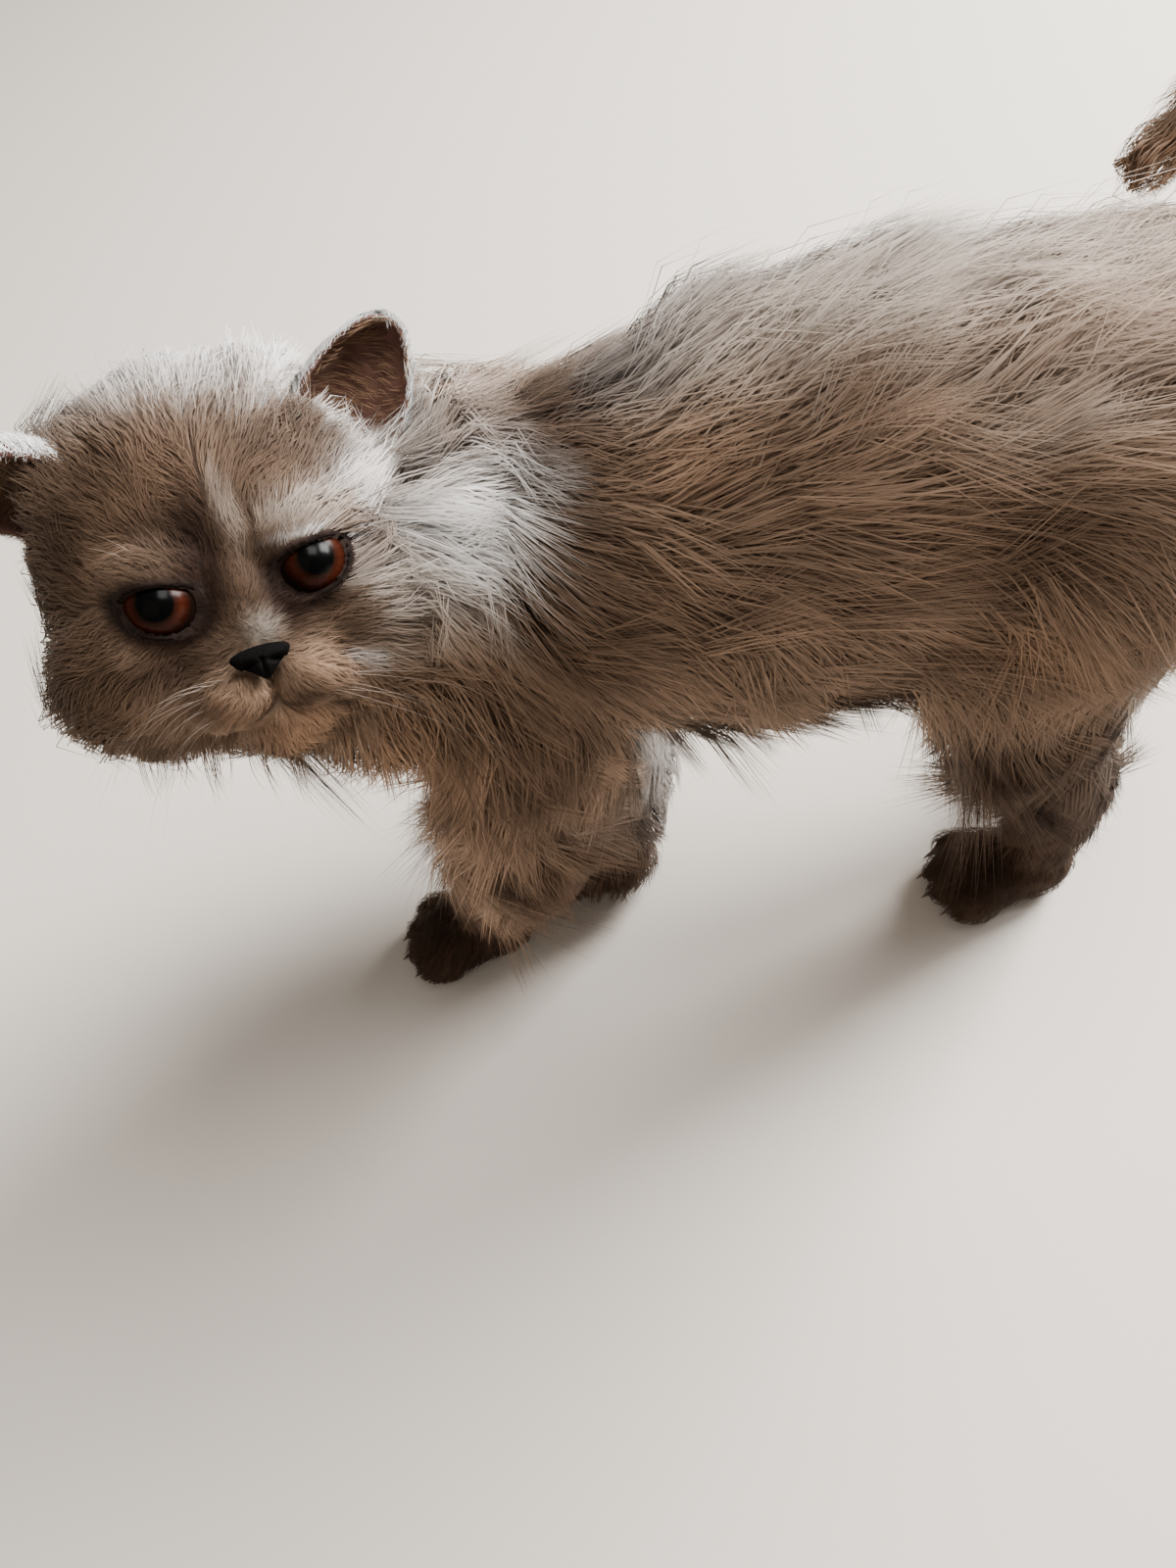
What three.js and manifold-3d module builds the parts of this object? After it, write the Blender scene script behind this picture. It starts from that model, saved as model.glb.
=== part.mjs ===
// A persian cat in mid-step with its head turned to its left, life size, in millimetres.
// The cat walks towards -X, its left side is -Y, +Z is up and the paws stand at z = 0.
import * as THREE from 'three';
import { mergeVertices } from 'three/addons/utils/BufferGeometryUtils.js';
import Module from 'manifold-3d';

const wasm = await Module();
wasm.setup();

// Gaps and limits
const seam = 0.3; // air kept between two pieces that touch
const floorBlock = 1000; // edge of the block that flattens the soles
const lowestLock = 6; // height over the floor that a lock's middle line keeps
const rootDepth = 5; // how far a lock is sunk into what it grows from
const lockSides = 3; // a ridge along the top of each lock and a flat underside
const lockRings = 3;

// Stations of the bent forms, out to the tips of the coat:
// x, y and z of the middle, then half the width and half the depth.
const trunkLine = [
  [-76, 0, 172, 34, 36],
  [-60, 0, 174, 48, 50],
  [-42, 0, 177, 55, 57],
  [-16, 0, 181, 59, 64],
  [12, 0, 184, 60, 68],
  [42, 0, 186, 60, 68],
  [72, 0, 189, 60, 66],
  [102, 0, 193, 59, 60],
  [132, 0, 194, 54, 52],
  [156, 0, 190, 46, 44],
];
const neckLine = [
  [-116, -16, 198, 44, 46],
  [-98, -8, 190, 51, 58],
  [-76, -1, 186, 54, 66],
  [-50, 0, 180, 51, 60],
];
const tailLine = [
  [158, 0, 210, 18, 18],
  [184, 6, 226, 21, 21],
  [206, 24, 246, 24, 24],
  [216, 50, 261, 26, 26],
  [206, 76, 261, 26, 26],
  [184, 89, 246, 22, 22],
  [163, 92, 228, 17, 17],
  [148, 93, 216, 12, 12],
];
const tailCuts = [0.36, 0.7]; // where the tail is parted, as shares of its stations

// Legs from the body down: each length has its stations, and the paw its place and heading.
const legLines = {
  fore_left: {
    upper: [[-56, -28, 168, 30, 32], [-50, -34, 138, 28, 32], [-52, -36, 112, 26, 31]],
    lower: [[-55, -36, 102, 25, 30], [-70, -33, 68, 23, 28], [-87, -29, 38, 21, 24], [-93, -28, 24, 18, 20]],
    paw: { x: -104, y: -28, turn: 4 },
  },
  fore_right: {
    upper: [[-54, 30, 168, 30, 32], [-42, 34, 138, 28, 31], [-36, 33, 112, 25, 28]],
    lower: [[-34, 31, 100, 22, 25], [-34, 20, 68, 20, 22], [-39, 5, 38, 18, 19], [-44, 0, 24, 16, 17]],
    paw: { x: -56, y: -2, turn: -6 },
  },
  hind_left: {
    upper: [[120, -24, 184, 34, 42], [102, -32, 150, 31, 39], [100, -34, 122, 26, 32]],
    lower: [[102, -33, 112, 23, 28], [113, -31, 88, 20, 23], [119, -29, 70, 18, 20]],
    hock: [[121, -28, 62, 17, 19], [119, -26, 40, 16, 18], [116, -26, 24, 15, 17]],
    paw: { x: 106, y: -26, turn: 2 },
  },
  hind_right: {
    upper: [[124, 26, 184, 34, 42], [122, 33, 150, 31, 40], [130, 34, 122, 26, 32]],
    lower: [[134, 33, 112, 23, 28], [150, 33, 90, 20, 22], [159, 33, 73, 18, 20]],
    hock: [[161, 33, 65, 17, 19], [157, 34, 40, 16, 17], [152, 34, 24, 15, 16]],
    paw: { x: 141, y: 34, turn: 0 },
  },
};

// Depth from the tips of the coat down to the core, which is about half the coat
const coatDepth = { trunk: 12, neck: 10, upper: 7, lower: 5, tail: 10, head: 5 };

// The head is built round its own middle: l to the cat's left, u up, f out of the face.
const head = {
  middle: new THREE.Vector3(-118, -33, 216),
  facing: new THREE.Vector3(0.367, -0.69, 0.625),
  up: new THREE.Vector3(-0.136, 0.637, 0.759),
};
const eye = { l: 18.8, u: 0, f: 19.5, radius: 10.5, lid: 1.8, wide: 9.8, high: 7.6 };
const ear = { l: 43, u: 33, f: -6, lean: 44, length: 32, wide: 14.5, deep: 11, wall: 2.4, view: 60 };
const nose = { u: -17.5, f: 28, wide: 7.4, high: 5.4, deep: 5.5, nostril: 1.6 };
const mouth = { top: -21, fork: -28, corner: 15, drop: 6, line: 1.3, depth: 1.5, reach: 40 };

// Materials
const hair = (color) => new THREE.MeshStandardMaterial({ color, roughness: 0.9, metalness: 0 });
const silver = hair(0xb9b2aa);
const smoke = hair(0x8f8378);
const brown = hair(0x5d4d42);
const earSkin = hair(0x9a7468);
const leather = new THREE.MeshStandardMaterial({ color: 0x17120f, roughness: 0.5, metalness: 0 });
const copper = new THREE.MeshStandardMaterial({ color: 0x8a3d12, roughness: 0.08, metalness: 0 });

const { lerp, clamp, degToRad } = THREE.MathUtils;

// A closed geometry becomes a solid: corners shared, faces turned outwards.
function solidOf(geometry) {
  const bare = geometry.clone();
  bare.deleteAttribute('normal');
  bare.deleteAttribute('uv');
  const merged = mergeVertices(bare, 1e-3);
  const vertProperties = new Float32Array(merged.attributes.position.array);
  const corner = (i) => new THREE.Vector3().fromArray(vertProperties, 3 * i);
  const faces = [];
  let volume = 0;
  for (let i = 0; i < merged.index.count; i += 3) {
    const [a, b, c] = [merged.index.getX(i), merged.index.getX(i + 1), merged.index.getX(i + 2)];
    if (a === b || b === c || c === a) continue;
    faces.push([a, b, c]);
    volume += corner(a).dot(corner(b).cross(corner(c)));
  }
  const triVerts = new Uint32Array(faces.flatMap(([a, b, c]) => (volume > 0 ? [a, b, c] : [a, c, b])));
  return new wasm.Manifold(new wasm.Mesh({ numProp: 3, vertProperties, triVerts }));
}

const joined = (solids) => solids.reduce((whole, solid) => whole.add(solid));

// The biggest closed body of a solid
function largestOf(solid) {
  const bodies = solid.decompose();
  return bodies.reduce((big, body) => (body.volume() > big.volume() ? body : big));
}

// The same row of draws on every run
function seededRandom(seed) {
  let state = seed;
  return () => {
    state = (state * 16807) % 2147483647;
    return state / 2147483647;
  };
}

// A round-ended form bent along stations. A place on it is v, from its start to its end,
// and angle, round it from its side over its top; lift is the height over its core.
class Limb {
  constructor(stations, { coat = 0, top = [0, 0, 1], around = 12, rings = 8, cap = 0.2, bulge = 0.8 }) {
    this.path = new THREE.CatmullRomCurve3(stations.map((s) => new THREE.Vector3(s[0], s[1], s[2])));
    this.sizes = new THREE.CatmullRomCurve3(stations.map((s) => new THREE.Vector3(s[3], s[4], 0)));
    this.top = new THREE.Vector3(...top);
    Object.assign(this, { coat, around, rings, cap, bulge });
  }

  frameAt(t) {
    const tangent = this.path.getTangent(t);
    const across = new THREE.Vector3().crossVectors(this.top, tangent).normalize();
    const over = new THREE.Vector3().crossVectors(tangent, across);
    return { middle: this.path.getPoint(t), size: this.sizes.getPoint(t), tangent, across, over };
  }

  point(v, angle, lift = 0) {
    const { cap, bulge, coat } = this;
    const { middle, size, tangent, across, over } = this.frameAt(clamp((v - cap) / (1 - 2 * cap), 0, 1));
    const beyond = v < cap ? v / cap - 1 : Math.max(0, (v - 1 + cap) / cap);
    const swing = (beyond * Math.PI) / 2;
    return middle
      .addScaledVector(tangent, Math.sin(swing) * (bulge * Math.min(size.x, size.y) - coat + lift))
      .addScaledVector(across, Math.cos(swing) * Math.cos(angle) * (size.x - coat + lift))
      .addScaledVector(over, Math.cos(swing) * Math.sin(angle) * (size.y - coat + lift));
  }

  // Whether a point lies inside the form, out to the tips of its coat
  holds(point) {
    for (let t = 0; t <= 1; t += 0.05) {
      const { middle, size, tangent, across, over } = this.frameAt(t);
      const off = point.clone().sub(middle);
      const sideways = off.dot(across) / size.x;
      const upwards = off.dot(over) / size.y;
      const forwards = off.dot(tangent) / size.x;
      if (Math.hypot(sideways, upwards, forwards) < 1) return true;
    }
    return false;
  }

  solid(grow) {
    const grid = new THREE.SphereGeometry(1, this.around, this.rings);
    const { position, uv } = grid.attributes;
    for (let i = 0; i < position.count; i += 1) {
      const place = this.point(1 - uv.getY(i), uv.getX(i) * 2 * Math.PI, grow);
      position.setXYZ(i, place.x, place.y, place.z);
    }
    return solidOf(grid);
  }
}

// Head frame: its own axes as columns; what is built in it is moved into the cat.
const headUp = head.up.clone().addScaledVector(head.facing, -head.up.dot(head.facing)).normalize();
const headLeft = new THREE.Vector3().crossVectors(headUp, head.facing).normalize();
const headFrame = new THREE.Matrix4().makeBasis(headLeft, headUp, head.facing.clone().normalize());
headFrame.setPosition(head.middle);

function onHead(geometry, l, u, f, turn = new THREE.Euler()) {
  const placed = geometry.clone();
  placed.applyMatrix4(new THREE.Matrix4().makeRotationFromEuler(turn));
  placed.translate(l, u, f);
  placed.applyMatrix4(headFrame);
  return solidOf(placed);
}

function headBall([l, u, f], [wide, high, deep], grow, around = 10) {
  const ball = new THREE.SphereGeometry(1, around, Math.round(around * 0.7));
  ball.scale(wide + grow, high + grow, deep + grow);
  return onHead(ball, l, u, f);
}

// Places on the head's coat: v from the face to the back of the skull, angle round it.
const headShell = {
  point(v, angle, lift = 0) {
    const ring = Math.sin(v * Math.PI);
    return new THREE.Vector3(ring * Math.cos(angle), ring * Math.sin(angle), Math.cos(v * Math.PI))
      .multiply(new THREE.Vector3(49 + lift, 46 + lift, 36 + lift))
      .add(new THREE.Vector3(0, 3, -7))
      .applyMatrix4(headFrame);
  },
};

// A flat, tapered lock. It leaves its form at v and angle, runs the given millimetres along
// and round it, and ends at reach over the core; droop lets the tip hang.
function lockOn(form, { v, angle, along, around, reach, droop, wide, thick }, grow) {
  const tiny = 0.01;
  const start = form.point(v, angle);
  const perV = form.point(v + tiny, angle).distanceTo(start) / tiny;
  const perTurn = Math.max(4, form.point(v, angle + tiny).distanceTo(start) / tiny);
  const at = (share, lift) => {
    const far = clamp(v + (along / perV) * share, 0.02, 0.98);
    return form.point(far, angle + (around / perTurn) * share, lift);
  };
  const bend = at(0.45, reach * 0.85);
  const tip = at(1, reach);
  tip.z -= droop;
  bend.z -= droop * 0.2;
  for (const place of [bend, tip]) place.z = Math.max(place.z, lowestLock);
  const spine = new THREE.CatmullRomCurve3([form.point(v, angle, -rootDepth), bend, tip]);
  const outward = at(0.5, 1).sub(at(0.5, 0));
  const across = tip.clone().sub(start).cross(outward).normalize();
  const ahead = tip.clone().sub(spine.getPoint(1 - 1 / lockRings)).normalize();

  const shape = new THREE.ConeGeometry(1, 1, lockSides, lockRings);
  const { position } = shape.attributes;
  for (let i = 0; i < position.count; i += 1) {
    const share = position.getY(i) + 0.5;
    const swell = share < 1 ? Math.sin(Math.PI * (0.22 + 0.78 * share)) ** 0.8 / (1 - share) : 0;
    const tangent = spine.getTangent(share);
    const over = new THREE.Vector3().crossVectors(across, tangent).normalize();
    const place = spine.getPoint(share)
      .addScaledVector(ahead, share === 1 ? 2 * grow : 0)
      .addScaledVector(across, position.getX(i) * swell * (wide / 2 + 4 * grow))
      .addScaledVector(over, position.getZ(i) * swell * (thick / 2 + 2 * grow));
    position.setXYZ(i, place.x, place.y, place.z);
  }
  return solidOf(shape);
}

// Rows of locks over a form. lie gives a lock's run and size from its place, or null for none;
// low runs from 0 on the top to 1 underneath. Roots inside the forms in clear are left out.
function coatOn(form, { from, to, rows, count, seed, clear = [], lie }, grow) {
  const random = seededRandom(seed);
  const locks = [];
  for (let row = 0; row < rows; row += 1) {
    for (let k = 0; k < count; k += 1) {
      const v = lerp(from, to, (row + 0.5 + 0.5 * (random() - 0.5)) / rows);
      const turn = ((k + 0.5 * (row % 2) + 0.35 * (random() - 0.5)) / count) * 2 * Math.PI;
      const angle = turn + Math.PI / 2;
      const side = Math.sin(turn) >= 0 ? 1 : -1;
      const vary = 0.85 + 0.3 * random();
      const sway = 8 * (random() - 0.5);
      const low = (1 - Math.cos(turn)) / 2;
      const lock = lie({ v, low, back: Math.sin(angle), toLeft: Math.cos(angle) });
      if (!lock || clear.some((other) => other.holds(form.point(v, angle)))) continue;
      locks.push(lockOn(form, {
        ...lock,
        v,
        angle,
        along: lock.along * vary,
        around: lock.around * side * vary + sway,
        reach: lock.reach * vary,
      }, grow));
    }
  }
  return locks;
}

// Skull, cheeks, brows and nose bridge
function skull(grow) {
  const forms = [
    headBall([0, 11, -8], [50, 47, 38], grow, 13),
    headBall([0, -11, 0], [43, 30, 31], grow, 10),
    headBall([0, -5, 20], [10, 14, 12], grow, 8),
  ];
  for (const side of [-1, 1]) {
    forms.push(headBall([side * 27, -12, 1], [23, 25, 27], grow, 9));
    forms.push(headBall([side * 16, 9, 15], [17, 10, 15], grow, 8));
  }
  return joined(forms);
}

function muzzle(grow) {
  const pads = [-1, 1].map((side) => headBall([side * 10, -26, 18], [13.5, 10, 15], grow, 9));
  return joined([...pads, headBall([0, -35, 14], [12, 7.5, 13], grow, 8)]);
}

// The slit between the lips: down from the nose, then out to both corners
function mouthSlit() {
  const half = mouth.line / 2;
  const corner = mouth.fork - mouth.drop;
  const edge = new THREE.Shape();
  edge.moveTo(-half, mouth.top);
  edge.lineTo(-half, mouth.fork);
  edge.quadraticCurveTo(-mouth.corner / 2, corner, -mouth.corner, corner);
  edge.lineTo(-mouth.corner, corner - mouth.line);
  edge.quadraticCurveTo(-mouth.corner / 2, corner - mouth.line, 0, mouth.fork - mouth.line);
  edge.quadraticCurveTo(mouth.corner / 2, corner - mouth.line, mouth.corner, corner - mouth.line);
  edge.lineTo(mouth.corner, corner);
  edge.quadraticCurveTo(mouth.corner / 2, corner, half, mouth.fork);
  edge.lineTo(half, mouth.top);
  edge.closePath();
  const blade = new THREE.ExtrudeGeometry(edge, {
    depth: mouth.reach, bevelEnabled: false, curveSegments: 3,
  });
  return onHead(blade, 0, 0, 15).subtract(skull(0)).subtract(muzzle(-mouth.depth));
}

// Cheek ruff and crown. The left ruff is pushed out against the shoulder, the right lies flat.
const headCoat = {
  from: 0.42, to: 0.7, rows: 2, count: 10, seed: 37,
  lie: ({ low, toLeft }) => ({
    along: lerp(22, 30, low) + 16 * Math.max(0, toLeft),
    around: 10 * Math.sin(Math.PI * low),
    reach: lerp(9, 10, low) + 20 * Math.max(0, toLeft) ** 2,
    droop: 4 * low,
    wide: 24,
    thick: 7,
  }),
};

function headSolid(grow) {
  const lidRadius = eye.radius + eye.lid;
  const lids = [-1, 1].map((side) => (
    headBall([side * eye.l, eye.u, eye.f], [lidRadius, lidRadius, lidRadius], grow, 10)
  ));
  const solid = joined([skull(grow), muzzle(grow), ...lids, ...coatOn(headShell, headCoat, grow)]);
  if (grow > 0) return solid;
  const openings = [-1, 1].map((side) => (
    headBall([side * eye.l, eye.u, eye.f + eye.radius], [eye.wide, eye.high, eye.radius], 0, 10)
  ));
  return solid.subtract(joined([...openings, mouthSlit()]));
}

function eyeSolid(side, grow) {
  return headBall([side * eye.l, eye.u, eye.f], [eye.radius, eye.radius, eye.radius], grow, 12);
}

// Nose leather: a rounded triangle with a pit for each nostril
function noseSolid(grow) {
  const { wide, high } = nose;
  const edge = new THREE.Shape();
  edge.moveTo(0, -high);
  edge.quadraticCurveTo(wide, -high * 0.2, wide, high * 0.7);
  edge.quadraticCurveTo(wide * 0.5, high, 0, high * 0.8);
  edge.quadraticCurveTo(-wide * 0.5, high, -wide, high * 0.7);
  edge.quadraticCurveTo(-wide, -high * 0.2, 0, -high);
  const rim = 1.5;
  const pad = new THREE.ExtrudeGeometry(edge, {
    depth: nose.deep, bevelSize: grow, bevelThickness: rim + grow, bevelSegments: 1, curveSegments: 3,
  });
  const solid = onHead(pad, 0, nose.u, nose.f);
  if (grow > 0) return solid;
  const pit = nose.nostril;
  const pits = [-1, 1].map((side) => (
    headBall([side * wide * 0.5, nose.u, nose.f + nose.deep + rim], [pit, pit * 0.8, pit], 0, 6)
  ));
  return solid.subtract(joined(pits));
}

// An ear: a rounded blade leaning out, hollowed from the front into a cup
function earSolid(side, grow) {
  const lean = new THREE.Euler(0, 0, -side * degToRad(ear.lean));
  const shell = (swell, forward) => {
    const ball = new THREE.SphereGeometry(1, 12, 9);
    ball.scale(ear.wide + swell, ear.length + swell, ear.deep + swell);
    ball.translate(0, 0, forward);
    return onHead(ball, side * ear.l, ear.u, ear.f, lean);
  };
  return grow > 0 ? shell(grow, 0) : shell(0, 0).subtract(shell(-ear.wall, ear.wall * 2.2));
}

// The space in front of an ear, widening out of the face, that the neck's coat leaves open
function earView(side, grow) {
  const space = new THREE.CylinderGeometry(1.25, 1, ear.view, 12).rotateX(Math.PI / 2);
  space.scale(ear.wide - grow, ear.length - grow, 1).translate(0, 0, ear.view / 2);
  return onHead(space, side * ear.l, ear.u, ear.f, new THREE.Euler(0, 0, -side * degToRad(ear.lean)));
}

// A paw: the foot's back, the heel pad and four toes, flat where it stands
function pawSolid({ x, y, turn }, grow) {
  const forms = [[8, 0, 15, 21, 16, 17], [-6, 0, 12, 16, 18, 13]];
  for (const [forward, sideways] of [[-15, -12.5], [-20, -4.4], [-20, 4.4], [-15, 12.5]]) {
    forms.push([forward, sideways, 8.5, 10, 6.6, 9.8]);
  }
  const heading = new THREE.Matrix4().makeRotationZ(degToRad(turn)).setPosition(x, y, 0);
  const balls = forms.map(([px, py, pz, long, wide, high]) => {
    const ball = px < -10 ? new THREE.SphereGeometry(1, 6, 4) : new THREE.SphereGeometry(1, 8, 6);
    ball.scale(long + grow, wide + grow, high + grow);
    ball.translate(px, py, pz);
    return solidOf(ball.applyMatrix4(heading));
  });
  const below = new THREE.BoxGeometry(floorBlock, floorBlock, floorBlock).translate(0, 0, -floorBlock / 2);
  return joined(balls).subtract(solidOf(below));
}

const trunk = new Limb(trunkLine, { around: 14, rings: 14, cap: 0.14, coat: coatDepth.trunk });
const neck = new Limb(neckLine, { around: 14, rings: 9, coat: coatDepth.neck });
const tail = new Limb(tailLine, {
  top: [-0.5, 0, 0.8], around: 8, rings: 18, cap: 0.08, bulge: 1.1, coat: coatDepth.tail,
});
const legTop = [1, 0, 0];
const legs = Object.entries(legLines).map(([name, { upper, lower, hock, paw }]) => ({
  name,
  paw,
  upper: new Limb(upper, { top: legTop, around: 9, rings: 7, coat: coatDepth.upper }),
  lengths: Object.entries({ lower, hock }).filter(([, line]) => line).map(([part, line]) => (
    { part, limb: new Limb(line, { top: legTop, around: 8, rings: 6, coat: coatDepth.lower }) }
  )),
}));
const uppers = legs.map((leg) => leg.upper);

// The body coat sweeps back from the withers and down the flanks.
const bodyCoat = {
  from: 0.17, to: 0.9, rows: 5, count: 10, seed: 11, clear: [neck, ...uppers],
  lie: ({ low }) => ({
    along: lerp(50, 32, low),
    around: 26 * Math.sin(Math.PI * low) + 3,
    reach: lerp(15, 14, low),
    droop: 6 * low,
    wide: 38,
    thick: 9,
  }),
};

// The fringe hangs from the lower third of the flanks and the belly.
const bellyFringe = {
  from: 0.24, to: 0.76, rows: 4, count: 9, seed: 15, clear: uppers,
  lie: ({ low }) => (low < 0.72 ? null : { along: 16, around: 6, reach: 10, droop: 30, wide: 34, thick: 8 }),
};

// Breeches fall from the rump on both sides of the tail.
const breeches = {
  from: 0.86, to: 0.94, rows: 1, count: 8, seed: 19,
  lie: ({ low }) => (low < 0.15 ? null : { along: 6, around: 34, reach: 13, droop: 26, wide: 28, thick: 8 }),
};

// The ruff lies back over the shoulders, and the bib hangs under the throat.
const ruffCoat = {
  from: 0.46, to: 0.74, rows: 2, count: 8, seed: 23,
  lie: ({ low }) => (low > 0.85 ? null : {
    along: lerp(40, 30, low),
    around: 20 * Math.sin(Math.PI * low),
    reach: lerp(17, 11, low),
    droop: 14 * low,
    wide: 34,
    thick: 9,
  }),
};
const bibCoat = {
  from: 0.3, to: 0.66, rows: 2, count: 9, seed: 29,
  lie: ({ low }) => (low < 0.66 ? null : { along: -12, around: 2, reach: 12, droop: 46, wide: 34, thick: 9 }),
};

// Thighs and upper arms; the feathering is longest in front of and behind each leg.
const upperCoat = (seed) => ({
  from: 0.36, to: 0.76, rows: 2, count: 5, seed, clear: [trunk, neck],
  lie: ({ back }) => ({ along: 34, around: 0, reach: 8 + 4 * Math.abs(back), droop: 4, wide: 26, thick: 7 }),
});
const lowerCoat = (seed, rows) => ({
  from: 0.25, to: 0.62, rows, count: 4, seed, clear: [trunk],
  lie: ({ back }) => ({
    along: 24, around: 0, reach: 5 + 3 * Math.max(0, back), droop: 0, wide: 18, thick: 6,
  }),
});
const plumeCoat = {
  from: 0.08, to: 0.84, rows: 7, count: 4, seed: 71,
  lie: ({ v }) => ({
    along: 38, around: 0, reach: 12 * Math.min(1, 1.5 - v), droop: 3, wide: 30 - 16 * v, thick: 7,
  }),
};

const coated = (limb, ...coats) => (grow) => (
  joined([limb.solid(grow), ...coats.flatMap((coat) => coatOn(limb, coat, grow))])
);

// The tail is one bent form, parted across into lengths, each with its share of the plume.
function tailLength(from, to, grow) {
  const beyond = (share, shift) => {
    const { middle, tangent } = tail.frameAt(share);
    const block = new THREE.BoxGeometry(160, 160, 160).translate(0, 0, 80 + shift);
    const turn = new THREE.Quaternion().setFromUnitVectors(new THREE.Vector3(0, 0, 1), tangent);
    return solidOf(block.applyQuaternion(turn).translate(middle.x, middle.y, middle.z));
  };
  const shareOf = (v) => (v - tail.cap) / (1 - 2 * tail.cap);
  const lie = (place) => (shareOf(place.v) >= from && shareOf(place.v) < to ? plumeCoat.lie(place) : null);
  let solid = tail.solid(grow);
  if (from > 0) solid = solid.intersect(beyond(from, -grow));
  if (to < 1) solid = solid.subtract(beyond(to, grow));
  return joined([solid, ...coatOn(tail, { ...plumeCoat, lie }, grow)]);
}

// Each piece's name, material and solid, in the order in which they give way:
// a later one is cut clear of all before it.
const pieces = [
  ['eye_left', copper, (grow) => eyeSolid(1, grow)],
  ['eye_right', copper, (grow) => eyeSolid(-1, grow)],
  ['nose', leather, noseSolid],
  ['head', silver, headSolid],
  ['ear_left', earSkin, (grow) => earSolid(1, grow)],
  ['ear_right', earSkin, (grow) => earSolid(-1, grow)],
  ['neck', silver, (grow) => coated(neck, ruffCoat, bibCoat)(grow).subtract(earView(1, grow))],
  ['torso', smoke, coated(trunk, bodyCoat, bellyFringe, breeches)],
  ['tail_base', smoke, (grow) => tailLength(0, tailCuts[0], grow)],
  ['tail_middle', smoke, (grow) => tailLength(tailCuts[0], tailCuts[1], grow)],
  ['tail_tip', brown, (grow) => tailLength(tailCuts[1], 1, grow)],
];
legs.forEach(({ name, upper, lengths, paw }, i) => {
  pieces.push([`${name}_upper`, smoke, coated(upper, upperCoat(101 + i))]);
  lengths.forEach(({ part, limb }, j) => {
    const coat = lowerCoat(131 + i + 10 * j, lengths.length > 1 ? 1 : 2);
    pieces.push([`${name}_${part}`, brown, coated(limb, coat)]);
  });
  pieces.push([`${name}_paw`, brown, (grow) => pawSolid(paw, grow)]);
});

const group = new THREE.Group();
let taken = null;
for (const [name, material, make] of pieces) {
  const solid = largestOf(taken ? make(0).subtract(taken) : make(0));
  const grown = make(seam);
  taken = taken ? taken.add(grown) : grown;
  const { vertProperties, triVerts } = solid.getMesh();
  const geometry = new THREE.BufferGeometry();
  geometry.setAttribute('position', new THREE.BufferAttribute(vertProperties, 3));
  geometry.setIndex(new THREE.BufferAttribute(triVerts, 1));
  geometry.computeBoundingBox();
  const pivot = geometry.boundingBox.getCenter(new THREE.Vector3());
  geometry.translate(-pivot.x, -pivot.y, -pivot.z);
  geometry.computeVertexNormals();
  const mesh = new THREE.Mesh(geometry, material);
  mesh.name = name;
  mesh.position.copy(pivot);
  group.add(mesh);
}

// The origin is on the floor under the middle of the whole cat.
const box = new THREE.Box3().setFromObject(group);
const origin = box.getCenter(new THREE.Vector3()).setZ(box.min.z);
for (const mesh of group.children) mesh.position.sub(origin);

export default group;
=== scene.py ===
import math
import bmesh
import bpy
import numpy as np
from mathutils import Matrix, Vector, noise
from mathutils.bvhtree import BVHTree
from mathutils.kdtree import KDTree


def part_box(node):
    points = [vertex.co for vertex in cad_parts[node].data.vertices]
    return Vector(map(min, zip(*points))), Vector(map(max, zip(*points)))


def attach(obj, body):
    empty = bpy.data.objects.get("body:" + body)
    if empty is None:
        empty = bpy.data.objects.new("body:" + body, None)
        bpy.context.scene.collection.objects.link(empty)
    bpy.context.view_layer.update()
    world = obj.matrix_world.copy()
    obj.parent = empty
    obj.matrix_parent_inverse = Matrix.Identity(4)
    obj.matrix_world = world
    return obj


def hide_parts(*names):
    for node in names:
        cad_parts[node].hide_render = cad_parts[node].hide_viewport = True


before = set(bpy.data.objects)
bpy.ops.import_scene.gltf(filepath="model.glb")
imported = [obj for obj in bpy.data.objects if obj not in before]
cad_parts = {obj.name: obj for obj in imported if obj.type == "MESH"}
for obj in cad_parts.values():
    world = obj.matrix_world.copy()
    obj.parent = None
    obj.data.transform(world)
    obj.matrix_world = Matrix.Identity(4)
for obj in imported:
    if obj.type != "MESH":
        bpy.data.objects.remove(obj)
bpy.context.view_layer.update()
print("frame loaded")

# Sizes are in millimetres on the cat's own axes: it walks towards -X, its left side is -Y
# and its paws stand at z = 0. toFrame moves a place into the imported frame.
chance = np.random.default_rng(20)

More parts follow.
